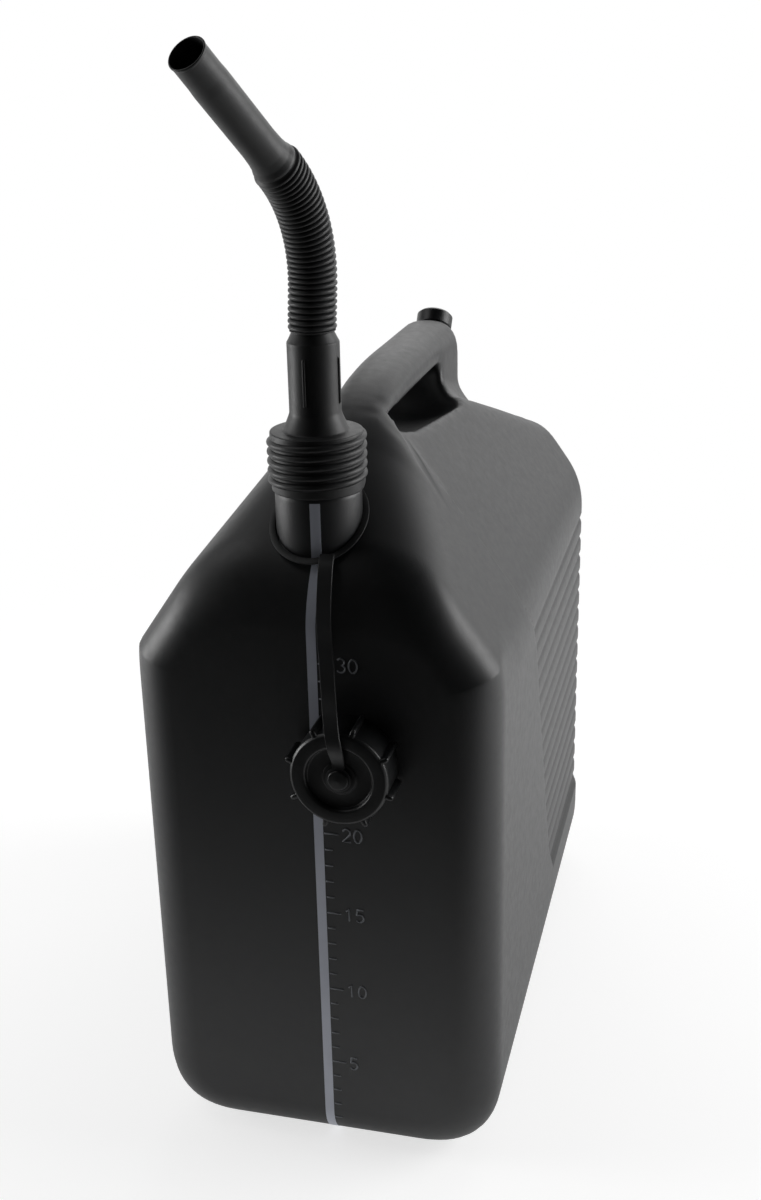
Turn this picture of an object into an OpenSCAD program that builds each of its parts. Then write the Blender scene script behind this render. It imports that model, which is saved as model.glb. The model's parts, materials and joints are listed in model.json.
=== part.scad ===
/* [Can] */
// Overall width of the can, left to right
can_width = 225; // [190:1:260]
// Overall depth of the can, from the front wall to the back wall
can_depth = 431; // [400:1:480]
// Height of the top of the handle above the ground
can_height = 479; // [465:1:500]
// Height of the roof, from the eaves to the top of the handle
roof_height = 141; // [130:1:150]
// Slope of the two roof faces
roof_angle = 55; // [50:1:58]
// Slope of the front shoulder that carries the neck
shoulder_angle = 32; // [28:1:36]
// Height above the eaves at which the shoulder meets the front wall
shoulder_rise = 53; // [44:1:60]
// Slope of the deck behind the handle
deck_angle = 19.7; // [14:0.1:24]
// Height above the eaves at which the deck meets the back wall
deck_rise = 45; // [38:1:52]
// Wall of the blown shell
can_wall = 2.8; // [2:0.1:4]
// Rounding of the long bottom edges
bottom_round = 50; // [30:1:60]
// Rounding all around the front and the back wall
end_round = 29; // [18:1:36]

/* [Handle] */
// Width of the handle bar
handle_width = 43; // [36:1:50]
// Height of the handle bar, from its underside to its top
handle_bar = 23; // [18:1:28]
// Where the level top of the handle ends, behind the middle of the can
handle_end = 124; // [116:1:132]
// Where the back post of the handle stands, behind the middle of the can
post_back = 153; // [148:1:160]
// Front end of the hand opening, behind the middle of the can
hand_front = -94; // [-98:1:-86]
// Back end of the hand opening, behind the middle of the can
hand_back = 72; // [66:1:76]
// Half the width of the hollow under the bar, at its widest
hand_hollow = 52; // [48:1:56]
// Depth of the hollow below the bar, at its deepest
hand_depth = 34; // [30:1:38]

/* [Ribbed sides] */
// Depth of the step behind the raised front frame
panel_step = 3; // [1.5:0.5:5]
// Distance from one rib to the next
rib_pitch = 15.6; // [12:0.2:20]
// Depth of the valleys between the ribs
rib_depth = 1.6; // [0.8:0.1:2.5]
// Height of the bottom edge of the ribbed panel
panel_bottom = 68; // [55:1:90]
// Distance of the top edge of the ribbed panel below the eaves
panel_drop = 34; // [30:1:50]

/* [Neck and spout] */
// Distance of the neck axis behind the front wall
neck_setback = 41.7; // [38:0.1:48]
// Outer diameter of the neck where it leaves the shoulder
neck_diameter = 50.5; // [46:0.1:54]
// Bore of the neck
neck_bore = 43; // [38:0.1:44]
// Height of the spout's collar above the shoulder, on the neck's axis
collar_rise = 19.6; // [17:0.1:22]
// Height of the screw collar
collar_height = 34.2; // [30:0.1:38]
// Outer diameter over the collar's screw ridges
collar_diameter = 57.6; // [56:0.1:62]
// Pitch of the screw ridges
screw_pitch = 5.5; // [4.5:0.1:6]
// Height of the screw ridges
screw_ridge = 2; // [1:0.1:2.2]
// Running gap between parts that turn or slide on each other
running_gap = 0.35; // [0.3:0.05:0.6]
// Outer diameter of the spout's straight barrel
barrel_diameter = 29.8; // [28:0.1:33]
// Height of the top of the spout's straight barrel above the collar's top
barrel_height = 50.8; // [44:0.1:56]
// Wall of the spout's pieces
spout_wall = 1.8; // [1.4:0.1:2.4]
// Outer diameter over the bellows
bellows_diameter = 27.4; // [26:0.1:30]
// Depth of the folds of the bellows
fold_depth = 1.8; // [1:0.1:2.2]
// Distance from one fold to the next
fold_pitch = 3.3; // [2.8:0.1:4.4]
// Length of the straight stretch at the foot of the bellows
bellows_straight = 24; // [16:1:40]
// Radius of the bend of the bellows
bend_radius = 86; // [75:1:110]
// Angle of the bend of the bellows
bend_angle = 48.4; // [35:0.1:60]
// Direction that the spout points to, turned from straight ahead
spout_heading = -21; // [-30:0.5:30]
// Sideways lean of the bellows
spout_lean = 3; // [0:0.5:4]
// Outer diameter of the pouring tube
tube_diameter = 20.8; // [19:0.1:22]
// Length of the pouring tube beyond the bellows
tube_length = 83; // [70:1:110]

/* [Filler cap] */
// Outer diameter of the filler cap
cap_diameter = 58.6; // [57:0.1:62]
// Depth of the filler cap
cap_depth = 25.4; // [22:0.1:30]
// Wall of the filler cap
cap_wall = 2.4; // [1.8:0.1:2.8]
// Number of finger lugs around the filler cap
cap_lugs = 8; // [6:1:12]
// Height of the finger lugs
lug_height = 4; // [2.5:0.1:5]
// Sideways place of the hanging cap
cap_x = 25.7; // [16:0.1:32]
// Distance of the hanging cap's middle below the front edge of the shoulder
cap_drop = 107; // [95:1:120]
// Width of the strap that holds the cap
strap_width = 8.8; // [7:0.1:10]
// Thickness of the strap
strap_thickness = 1.5; // [1:0.1:2]

/* [Vent cap] */
// Outer diameter of the vent cap
vent_diameter = 26.8; // [25:0.1:29]
// Height of the vent cap
vent_height = 10.8; // [9:0.1:13]
// Lean of the vent, back from upright
vent_lean = 38; // [30:1:42]
// Outer diameter of the vent's neck inside its cap
vent_neck_diameter = 17; // [14:0.5:19]

/* [Hidden] */
$fn = 64;

half_w = can_width / 2;
half_d = can_depth / 2;
flank_x = handle_width / 2;
roof_run = 1 / tan(roof_angle);
side_height = can_height - roof_height;
shoulder_height = side_height + shoulder_rise;
deck_height = side_height + deck_rise;
panel_top = side_height - panel_drop;
hand_ledge = can_height - handle_bar - 9;
ledge_run = 14;
ledge_slope = 0.65;
free_rise = 20;
eave_soft = 22;
ledge_soft = 20;
knee_soft = 40;
nose_front = handle_end - 8;
nose_least = 9;
neck_y = neck_setback - half_d;
black = "#26272a";
soft_black = "#1d1e20";

// Points of a bend from a to b around the corner p, as a quadratic curve
function bend(a, p, b, n) = [
    for (i = [0 : n])
        let (t = i / n)
        a * (1 - t) * (1 - t) + p * 2 * t * (1 - t) + b * t * t
];

function unit(v) = v / norm(v);

function limited(t) = max(0, min(1, t));

function mix(a, b, t) = a * (1 - t) + b * t;

// Corner p between its neighbours q and r, rounded back by a towards q and by b towards r
function corner(q, p, r, a, b, n, share_a = 0.48, share_b = 0.48) = bend(
    p + unit(q - p) * min(a, norm(q - p) * share_a),
    p,
    p + unit(r - p) * min(b, norm(r - p) * share_b),
    n
);

function rounded(q, p, r, s, n) = corner(q, p, r, s, s, n);

// Line through [y, height] corners, each rounded back by its two soft values
function smooth_line(c, soft) = concat(
    [c[0]],
    [for (k = [1 : len(c) - 2])
        each corner(c[k - 1], c[k], c[k + 1], soft[k][0], soft[k][1], 6)],
    [c[len(c) - 1]]
);

// Height of a line at y, taken from the two points beside it
function line_at(line, y, i = 0) =
    i >= len(line) - 2 || y <= line[i + 1][0]
    ? let (a = line[i], b = line[i + 1])
        a[1] + (b[1] - a[1]) * (y - a[0]) / max(0.001, b[0] - a[0])
    : line_at(line, y, i + 1);

// Half width of the roof at height z, with the surface moved in by inset
function roof_x(z, inset) =
    half_w - inset / sin(roof_angle) - (z - side_height) * roof_run;

function on_roof(z, inset) = [roof_x(z, inset), z];

// Right half of the can's cross-section at a station, from the bottom to the top
function half_section(crest_z, deck_z, post_x, inset, n) =
    let (
        w = half_w - inset,
        crown = crest_z - inset,
        flank = max(2, post_x - inset),
        eave = side_height - inset * (1 - sin(roof_angle)) / cos(roof_angle),
        foot = side_height + (half_w - inset / sin(roof_angle) - flank) / roof_run,
        free = limited((foot - deck_z + inset) / free_rise),
        deck = min(deck_z - inset, crown - 0.5),
        low = limited((can_height - crest_z) / 30),
        hip_z = max(eave + 12, min(foot, crown - 12 - 32 * low)),
        hip = on_roof(hip_z, inset),
        hip_edge = [max(flank, roof_x(crown, inset)), crown],
        knee = mix(hip, [flank, deck], free),
        ledge_z = max(eave + 3, hip_z - 9 - 8 * low),
        ledge = mix(on_roof(ledge_z, inset), on_roof(deck, inset), free),
        edge = mix(hip_edge, [flank, crown], free),
        ledge_a = mix(4, ledge_soft, free),
        knee_a = mix(4, knee_soft, free),
        top_soft = 20 + mix(14 * low, 0, free)
    )
    concat(
        rounded([0, inset], [w, inset], [w, eave], max(4, bottom_round - inset), 2 * n),
        rounded([w, inset], [w, eave], ledge, eave_soft, n),
        corner([w, eave], ledge, knee, ledge_a, ledge_a, n, 0.48, 0.2),
        corner(ledge, knee, edge, knee_a, knee_a, n, 0.78, 0.37),
        corner(knee, edge, [-edge[0], crown], top_soft, top_soft, n + 1, 0.61, 0.49)
    );

// Whole cross-section, closed by the mirrored half
function section(s, n) =
    let (
        right = half_section(s[1], s[2], s[3], s[4], n),
        last = len(right) - 1
    )
    concat(right, [for (i = [0 : last]) [-right[last - i][0], right[last - i][1]]]);

// Height of the deck, which runs level under the handle and slopes down behind it
function deck_at(y) = min(
    deck_height + (half_d - y) * tan(deck_angle),
    hand_ledge + max(0, hand_front + ledge_run - y) * ledge_slope
);

// Crest line of the can seen from the side, as [y, height] points
shoulder_end = -half_d + (can_height - shoulder_height) / tan(shoulder_angle);
vent_drop = (post_back - handle_end) * tan(vent_lean);
post_foot = post_back + 9;
crest_line = smooth_line(
    [
        [-half_d, shoulder_height],
        [shoulder_end, can_height],
        [handle_end, can_height],
        [post_back, can_height - vent_drop],
        [post_foot, deck_at(post_foot)],
        [half_d, deck_height]
    ],
    [[0, 0], [58, 95], [10, 10], [6, 6], [22, 22], [0, 0]]
);

// Half width of the handle at y, which narrows to a round nose at the vent
function post_at(y) =
    let (t = (y - nose_front) / (post_foot - nose_front))
    t <= 0 ? flank_x : max(nose_least, flank_x * sqrt(max(0, 1 - t * t)));

// Lowest value of a line within the distance s of y
function low_at(line, y, s) =
    min(line_at(line, y - s), line_at(line, y), line_at(line, y + s));

// How far a surface with end rounding r is moved in at the distance e from its end
function end_inset(e, r) = e >= r ? 0 : r - sqrt(r * r - (r - e) * (r - e));

// The n first of n + 1 even steps from a to b
function spread(a, b, n) = [for (i = [0 : n - 1]) a + (b - a) * i / n];

// Stations along the can, as [y, crest, deck, half width of the handle, inset]
function stations(shell) =
    let (
        r = end_round - shell,
        reach = half_d - shell,
        steps = [for (a = [0 : 18 : 90]) r * (1 - sin(a))],
        front = [for (i = [5 : -1 : 0]) -reach + steps[i]],
        back = [for (i = [0 : 5]) reach - steps[i]],
        fine = shell > 0 ? 2 : 1,
        middle = concat(
            spread(front[5], shoulder_end - 50, 2),
            spread(shoulder_end - 50, shoulder_end + 26, 10 / fine),
            spread(shoulder_end + 26, nose_front, 12 / fine),
            spread(nose_front, post_foot + 10, 14 / fine),
            spread(post_foot + 10, back[0], 2)
        )
    )
    [for (y = concat(front, [for (k = [1 : len(middle) - 1]) middle[k]], back))
        [
            y,
            low_at(crest_line, y, shell),
            deck_at(y + shell),
            min(post_at(y), post_at(y + shell)),
            shell + end_inset(max(0, min(y + reach, reach - y)), r)
        ]];

// Solid lofted through rings of equally many points
module loft(rings) {
    n = len(rings[0]);
    m = len(rings);
    points = [for (ring = rings) each ring];
    sides = [
        for (j = [0 : m - 2])
            for (i = [0 : n - 1])
                let (a = j * n + i, b = j * n + (i + 1) % n)
                each [[a, b, b + n], [a, b + n, a + n]]
    ];
    first = [[for (i = [0 : n - 1]) n - 1 - i]];
    last = [[for (i = [0 : n - 1]) (m - 1) * n + i]];
    polyhedron(points = points, faces = concat(sides, first, last), convexity = 6);
}

// Outer skin of the can, or the skin moved in by the shell's thickness
module can_loft(shell) {
    rings = [
        for (s = stations(shell))
            [for (p = section(s, shell > 0 ? 2 : 3)) [p[0], s[0], p[1]]]
    ];
    loft(rings);
}

// Outline of the stepped-back area of the sides, seen from the side
step_outline = [
    [-94, can_height + 20],
    [-94, side_height + 6],
    [-62, panel_top],
    [-43, panel_top - 52],
    [22, panel_bottom + 32],
    [50, panel_bottom],
    [half_d + 20, panel_bottom],
    [half_d + 20, can_height + 20]
];

// Surface that the step leaves, from the bottom of the panel to the handle
function step_profile(depth, ribbed) =
    let (
        face = half_w - depth,
        eave = side_height - depth * (1 - sin(roof_angle)) / cos(roof_angle),
        count = floor((panel_top - panel_bottom) / rib_pitch),
        lip = flank_x + 14
    )
    concat(
        [[half_w + 20, panel_bottom - 30], [half_w + 20, can_height + 30], [flank_x + 3, can_height + 30]],
        [[flank_x + 3, side_height + (half_w - flank_x - 3) / roof_run + 0.6]],
        [[lip, side_height + (half_w - depth / sin(roof_angle) - lip) / roof_run]],
        rounded([lip, side_height + (half_w - depth / sin(roof_angle) - lip) / roof_run],
            [face, eave], [face, panel_top], 18, 4),
        ribbed ? [
            for (k = [count - 1 : -1 : 0])
                let (foot = panel_bottom + 3 + k * rib_pitch)
                each [
                    [face - rib_depth, foot + rib_pitch],
                    [face - 0.3, foot + rib_pitch * 0.8],
                    [face, foot + rib_pitch * 0.5],
                    [face - 0.3, foot + rib_pitch * 0.2]
                ]
        ] : [],
        [[face - (ribbed ? rib_depth : 0), panel_bottom + 3], [face, panel_bottom + 0.5]],
        [[half_w + 0.5, panel_bottom - 3]]
    );

// Solid taken off the right side behind the raised front frame
module side_step(depth, ribbed, grow) {
    intersection() {
        rotate([90, 0, 0])
            linear_extrude(height = 2 * can_depth, center = true)
                polygon(step_profile(depth, ribbed));
        rotate([90, 0, 90])
            linear_extrude(height = can_width)
                polygon([for (p = step_outline) [p[0] - grow, p[1]]]);
    }
}

// Hollow for the hand under the handle bar, grown by the given amount
module hand_cut(grow) {
    under = can_height - handle_bar + grow;
    bar_x = flank_x + 0.8 - grow;
    back_reach = (hand_back - hand_front) * 0.18;
    front_reach = (hand_back - hand_front) * 0.25;
    difference() {
        translate([0, 0, under])
            hull() {
                translate([0, hand_front + front_reach, 0])
                    scale([hand_hollow * 0.85 + grow, front_reach + grow, hand_depth * 0.6 + 2 * grow])
                        sphere(r = 1, $fn = 32);
                translate([0, hand_back - back_reach, 0])
                    scale([hand_hollow + grow, back_reach + grow, hand_depth + 2 * grow])
                        sphere(r = 1, $fn = 32);
            }
        rotate([90, 0, 0])
            linear_extrude(height = can_depth, center = true)
                polygon(concat(
                    [[-bar_x, can_height + 60]],
                    rounded([-bar_x, can_height], [-bar_x, under], [0, under], 9, 4),
                    rounded([0, under], [bar_x, under], [bar_x, can_height], 9, 4),
                    [[bar_x, can_height + 60]]
                ));
    }
}

// The can's outer form, or with a shell thickness the form of its cavity
module can_form(shell) {
    difference() {
        can_loft(shell);
        side_step(panel_step + shell + (shell > 0 ? rib_depth : 0), shell == 0, shell);
        mirror([1, 0, 0])
            side_step(panel_step + shell + (shell > 0 ? rib_depth : 0), shell == 0, shell);
        hand_cut(shell);
    }
}

// Height of the shoulder plane on the neck axis
seat_z = shoulder_height + neck_setback * tan(shoulder_angle);
collar_root = collar_diameter / 2 - screw_ridge;
collar_bore = collar_root - spout_wall;
collar_bottom = seat_z + collar_rise;
collar_top = collar_bottom + collar_height;
collar_roof = 2;
spout_seal_thick = 2.4;
neck_top = collar_top - collar_roof - spout_seal_thick;
vent_y = (handle_end + post_back) / 2;
vent_z = can_height - vent_drop / 2;
neck_root = 20;
vent_root = 9;
vent_pad = 0.8;
vent_seal_thick = 1.2;
vent_neck_r = vent_neck_diameter / 2;
vent_neck_top = vent_pad + vent_seal_thick + vent_height * 0.7;

// Puts its children on the slanted seat of the vent
module at_vent() {
    translate([0, vent_y, vent_z])
        rotate([-vent_lean, 0, 0])
            children();
}

// Neck with the wider stretch that the strap's ring sits on and the one that the collar covers
module neck() {
    translate([0, neck_y, seat_z - neck_root])
        cylinder(d = neck_diameter, h = collar_bottom - running_gap - seat_z + neck_root);
    translate([0, neck_y, collar_bottom - 2])
        cylinder(r = collar_bore - running_gap, h = neck_top - collar_bottom + 2);
}

// Blown can with its neck and the small neck of the vent
module can_body() {
    color(black)
        difference() {
            union() {
                difference() {
                    can_form(0);
                    can_form(can_wall);
                }
                neck();
                at_vent() {
                    translate([0, 0, -vent_root])
                        cylinder(d = vent_diameter, h = vent_root + vent_pad);
                    cylinder(r = vent_neck_r, h = vent_neck_top);
                }
            }
            translate([0, neck_y, seat_z - 2 * neck_root])
                cylinder(d = neck_bore, h = neck_top - seat_z + 3 * neck_root);
            at_vent()
                translate([0, 0, -vent_root - can_wall - 4])
                    cylinder(r = vent_neck_r / 2, h = vent_root + can_wall + vent_neck_top + 8);
        }
}

// Ridge of the screw, swept along its helix
module screw_ridges(foot_r, crest_r, bottom, turns) {
    steps = 28;
    half = screw_pitch * 0.42;
    rings = [
        for (i = [0 : steps * turns])
            let (
                a = i * 360 / steps,
                z = bottom + i * screw_pitch / steps,
                fade = min(1, i / 6, (steps * turns - i) / 6),
                r = foot_r + 0.2 + (crest_r - foot_r - 0.2) * fade
            )
            [for (q = [[foot_r - 0.8, -half], [r, -half * 0.3], [r, half * 0.3], [foot_r - 0.8, half]])
                [q[0] * cos(a), q[0] * sin(a), z + q[1]]]
    ];
    loft(rings);
}

barrel_r = barrel_diameter / 2;
cone_height = 9.8;
shoulder_taper = 5.4;
barrel_top = collar_top + barrel_height;
bellows_root = bellows_diameter / 2 - fold_depth;
bellows_z = barrel_top + shoulder_taper;
sleeve_r = bellows_root - 1.4;
stub_r = sleeve_r - running_gap;
stub_reach = 6;
seam_gap = 0.05;
tube_bore = stub_r - 1.6;
rib_turn = -6;
tip_step = 0.4;
tip_length = 19;
rib_height = barrel_height - cone_height - 14;
cone_foot_r = 19;
cone_bore_r = cone_foot_r - spout_wall;

// Screw collar, cone and ribbed barrel of the spout
module spout_base() {
    color(black) {
        translate([0, neck_y, 0]) {
            rotate_extrude($fn = 96)
                polygon([
                    [collar_bore, collar_bottom],
                    [collar_root, collar_bottom],
                    [collar_root, collar_top - 1],
                    [collar_root - 1, collar_top],
                    [cone_foot_r, collar_top],
                    [barrel_r, collar_top + cone_height],
                    [barrel_r, barrel_top],
                    [bellows_root, bellows_z],
                    [stub_r, bellows_z],
                    [stub_r, bellows_z + stub_reach],
                    [tube_bore, bellows_z + stub_reach],
                    [tube_bore, bellows_z - 2],
                    [barrel_r - spout_wall, barrel_top - 3],
                    [barrel_r - spout_wall, collar_top + cone_height],
                    [cone_bore_r, collar_top],
                    [cone_bore_r, collar_top - collar_roof],
                    [collar_bore, collar_top - collar_roof]
                ]);
            screw_ridges(collar_root, collar_diameter / 2, collar_bottom + screw_pitch / 2, 5.25);
            for (k = [0 : 3])
                rotate([0, 0, rib_turn + 90 * k])
                    translate([-0.7, -barrel_r - 0.8, collar_top + cone_height + 6])
                        cube([1.4, 2, rib_height]);
        }
    }
}

bend_length = bend_radius * bend_angle * PI / 180;
bellows_length = bellows_straight + bend_length + stub_reach;
ahead = [sin(spout_heading), -cos(spout_heading), 0];
across = [cos(spout_heading), sin(spout_heading), 0];
up = [0, 0, 1];

function bend_at(s) = max(0, min(bend_angle, (s - bellows_straight) / bend_radius * 180 / PI));

// Middle of the bellows above their foot at the distance s, before they lean
function bellows_rise(s) =
    s <= bellows_straight ? up * s
    : let (a = bend_at(s), spare = max(0, s - bellows_straight - bend_length))
        up * bellows_straight
        + ahead * bend_radius * (1 - cos(a)) + up * bend_radius * sin(a)
        + (ahead * sin(a) + up * cos(a)) * spare;

// Middle of the spout at the distance s, leaning only between the two stubs
lean_top = bellows_rise(bellows_straight + bend_length)[2];
function spout_point(s) =
    let (
        p = bellows_rise(s),
        leaning = max(0, min(lean_top, p[2]) - stub_reach)
    )
    [0, neck_y, bellows_z] + p + [leaning * tan(spout_lean), 0, 0];

// Ring of points of radius r around the spout's middle line at s
bellows_sides = 24;
function spout_ring(s, r) =
    let (
        a = bend_at(s),
        lift = ahead * cos(a) - up * sin(a),
        middle = spout_point(s)
    )
    [for (i = [0 : bellows_sides - 1])
        let (t = i * 360 / bellows_sides)
        middle + r * (cos(t) * across + sin(t) * lift)];

// Folded hose between the barrel and the tube
module spout_bellows() {
    cuff = 1;
    folds = floor((bellows_length - 2 * cuff) / fold_pitch);
    step = (bellows_length - 2 * cuff) / folds;
    crest_r = bellows_diameter / 2;
    cuff_r = crest_r - 0.6;
    outside = concat(
        [spout_ring(0, cuff_r), spout_ring(cuff, cuff_r)],
        [for (k = [0 : folds - 1])
            each [
                spout_ring(cuff + step * (k + 0.05), bellows_root),
                spout_ring(cuff + step * (k + 0.55), crest_r)
            ]],
        [for (s = [bellows_length - 0.8, bellows_length]) spout_ring(s, bellows_root)]
    );
    bend_end = bellows_straight + bend_length;
    bent = spread(bellows_straight, bend_end, 6);
    inside_at = concat([-1, stub_reach], bent, [bend_end, bellows_length + 1]);
    inside = [for (s = inside_at) spout_ring(s, sleeve_r)];
    color(soft_black)
        difference() {
            loft(outside);
            loft(inside);
        }
}

// Puts its children at the upper end of the bellows, along the tube
module at_tube() {
    translate(spout_point(bellows_length))
        rotate([bend_angle, 0, spout_heading])
            children();
}

// Pouring tube with its slightly thinner end
module spout_tube() {
    tube_r = tube_diameter / 2;
    tip_r = tube_r - tip_step;
    step_z = tube_length - tip_length;
    color(black)
        at_tube()
            rotate_extrude($fn = 64)
                polygon([
                    [tube_bore, -stub_reach],
                    [stub_r, -stub_reach],
                    [stub_r, seam_gap],
                    [bellows_root + 0.6, seam_gap],
                    [bellows_root + 0.6, 3.4],
                    [tube_r, 3.4 + bellows_root - tube_r + 3],
                    [tube_r, step_z - 0.6],
                    [tip_r, step_z],
                    [tip_r, tube_length - 0.4],
                    [tip_r - 0.4, tube_length],
                    [tube_bore, tube_length]
                ]);
}

// Flat ring between the neck's mouth and the collar's roof
module spout_seal() {
    color("#3a3b3e")
        translate([0, neck_y, neck_top])
            difference() {
                cylinder(r = collar_bore - running_gap, h = spout_seal_thick);
                translate([0, 0, -1])
                    cylinder(r = cone_bore_r, h = spout_seal_thick + 2);
            }
}

cap_face_y = -half_d - running_gap - cap_depth;
recess_depth = 3.4;
recess_r = 19.8;
boss_r = 9.8;
stud_r = 4.4;
stud_head_r = 6.3;
boss_rise = 1;
eye_y = cap_face_y + recess_depth - boss_rise - running_gap - strap_thickness / 2;
cap_z = shoulder_height - cap_drop;

// Puts its children on the hanging cap, with +Z out of its closed face
module at_cap() {
    translate([cap_x, -half_d - running_gap, cap_z])
        rotate([90, 0, 0])
            children();
}

// Hanging cap with finger lugs, a recessed face and a stud for the strap
module filler_cap() {
    r = cap_diameter / 2;
    floor_z = cap_depth - recess_depth;
    boss_z = floor_z + boss_rise;
    stud_z = boss_z + strap_thickness + 2 * running_gap;
    color(black)
        at_cap() {
            rotate_extrude($fn = 96)
                polygon([
                    [r - cap_wall, 0],
                    [r - 0.6, 0],
                    [r, 0.8],
                    [r, cap_depth - 2],
                    [r - 0.6, cap_depth - 0.6],
                    [r - 2, cap_depth],
                    [recess_r + 1, cap_depth],
                    [recess_r, cap_depth - 1],
                    [recess_r - 0.6, floor_z],
                    [boss_r, floor_z],
                    [boss_r, boss_z],
                    [stud_r, boss_z],
                    [stud_r, stud_z],
                    [stud_head_r, stud_z],
                    [stud_head_r - 0.4, stud_z + 1.4],
                    [0, stud_z + 1.8],
                    [0, floor_z - cap_wall],
                    [r - cap_wall, floor_z - cap_wall]
                ]);
            for (k = [0 : cap_lugs - 1])
                rotate([0, 0, 28 + 360 / cap_lugs * k])
                    translate([r - 1, -1.5, 2])
                        cube([lug_height + 1, 3, cap_depth - 4]);
        }
}

// Flat ring inside the filler cap
module cap_seal() {
    r = cap_diameter / 2 - cap_wall - running_gap;
    top = cap_depth - recess_depth - cap_wall;
    color("#3a3b3e")
        at_cap()
            translate([0, 0, top - 2])
                difference() {
                    cylinder(r = r, h = 2);
                    translate([0, 0, -1])
                        cylinder(r = r - 6, h = 4);
                }
}

// Middle line of the strap, from the ring on the neck down to the cap's stud
strap_foot_x = 11;
function strap_x(t) = strap_foot_x + (cap_x - strap_foot_x) * t;
strap_line = [
    [strap_x(0), neck_y - 23.5, seat_z - 13],
    [strap_x(0.07), neck_y - 32, seat_z - 19.5],
    [strap_x(0.15), -half_d - 0.4, shoulder_height - 15],
    [strap_x(0.2), -half_d - 3, shoulder_height - 33],
    [strap_x(0.29), -half_d - 5.5, cap_z + 66],
    [strap_x(0.48), -half_d - 13, cap_z + 49],
    [strap_x(0.72), -half_d - 23, cap_z + 37],
    [strap_x(0.88), cap_face_y - 2.4, cap_z + 28],
    [strap_x(0.97), cap_face_y - 2.6, cap_z + 20],
    [cap_x, eye_y, cap_z + 11],
    [cap_x, eye_y, cap_z + 5]
];

// Strap with a ring around the neck and an eye around the cap's stud
module cap_strap() {
    side = [strap_width / 2, 0, 0];
    last = len(strap_line) - 1;
    rings = [
        for (i = [0 : last])
            let (
                along = unit(strap_line[min(last, i + 1)] - strap_line[max(0, i - 1)]),
                out = unit(cross(along, [1, 0, 0])) * strap_thickness / 2,
                p = strap_line[i],
                w = side * (i < 9 ? 1 : 0.8)
            )
            [p - w - out, p - w + out, p + w + out, p + w - out]
    ];
    color(soft_black) {
        difference() {
            union() {
                translate([0, neck_y, seat_z])
                    rotate([shoulder_angle, 0, 0])
                        translate([0, 0, running_gap])
                            cylinder(r = neck_diameter / 2 + 4, h = strap_thickness);
                loft(rings);
                translate([cap_x, eye_y + strap_thickness / 2, cap_z])
                    rotate([90, 0, 0])
                        cylinder(r = stud_head_r + 1.3, h = strap_thickness);
            }
            translate([0, neck_y, 0])
                cylinder(d = neck_diameter + 2 * running_gap, h = can_height);
            translate([cap_x, eye_y + 4, cap_z])
                rotate([90, 0, 0])
                    cylinder(r = stud_r + running_gap, h = 8);
        }
    }
}

// Small cap on the slanted vent
module vent_cap() {
    r = vent_diameter / 2;
    base = vent_pad + vent_seal_thick;
    inner = vent_neck_r + running_gap;
    color(black)
        at_vent()
            rotate_extrude($fn = 64)
                polygon([
                    [inner, base],
                    [r - 0.5, base],
                    [r, base + 0.6],
                    [r, base + vent_height - 1.6],
                    [r - 1.6, base + vent_height],
                    [0, base + vent_height],
                    [0, vent_neck_top + running_gap],
                    [inner, vent_neck_top + running_gap]
                ]);
}

// Flat ring under the vent cap
module vent_seal() {
    color("#3a3b3e")
        at_vent()
            translate([0, 0, vent_pad])
                difference() {
                    cylinder(r = vent_diameter / 2 - 1, h = vent_seal_thick);
                    translate([0, 0, -1])
                        cylinder(r = vent_neck_r + running_gap, h = 4);
                }
}

can_body();
spout_base();
spout_bellows();
spout_tube();
spout_seal();
cap_strap();
filler_cap();
cap_seal();
vent_cap();
vent_seal();
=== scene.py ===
"""Dress a black 30 litre jerrycan with a bellows spout, a hanging cap and a vent cap.

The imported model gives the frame, in metres: +Z up, -Y to the front wall with the neck, and the
ground at z = 0. Sizes below are in millimetres and become metres where a mesh is made.
"""

import json
import logging
import math
from dataclasses import dataclass, field
from enum import Enum

import bmesh
import bpy
import numpy as np
from mathutils import Matrix, Vector
from mathutils.kdtree import KDTree

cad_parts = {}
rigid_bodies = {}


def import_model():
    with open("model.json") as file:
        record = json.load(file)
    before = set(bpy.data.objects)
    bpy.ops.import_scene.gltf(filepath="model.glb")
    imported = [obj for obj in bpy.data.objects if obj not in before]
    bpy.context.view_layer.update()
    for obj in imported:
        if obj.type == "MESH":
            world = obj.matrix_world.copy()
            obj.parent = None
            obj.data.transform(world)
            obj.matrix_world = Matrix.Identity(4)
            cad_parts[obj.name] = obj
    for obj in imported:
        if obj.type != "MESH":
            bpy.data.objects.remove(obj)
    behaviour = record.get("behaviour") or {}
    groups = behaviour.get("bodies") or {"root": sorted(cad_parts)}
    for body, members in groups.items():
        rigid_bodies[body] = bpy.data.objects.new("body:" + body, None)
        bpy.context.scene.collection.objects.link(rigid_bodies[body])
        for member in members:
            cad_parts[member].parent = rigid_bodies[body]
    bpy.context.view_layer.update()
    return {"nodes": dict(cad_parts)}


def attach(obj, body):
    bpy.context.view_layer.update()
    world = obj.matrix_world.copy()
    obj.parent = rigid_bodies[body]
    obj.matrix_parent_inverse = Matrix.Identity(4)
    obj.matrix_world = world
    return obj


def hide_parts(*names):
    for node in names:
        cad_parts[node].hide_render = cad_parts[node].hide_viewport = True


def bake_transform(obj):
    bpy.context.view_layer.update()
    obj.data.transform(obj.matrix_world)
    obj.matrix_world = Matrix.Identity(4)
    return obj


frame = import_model()

LOG = logging.getLogger("jerrycan")
MM = 0.001
# Places and gaps that several pieces share, in millimetres.
NECK_Y = -173.8
SEAT_Z = 417.06
CAP_X = 25.7
CAP_Z = 284
RUN_GAP = 0.35
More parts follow.
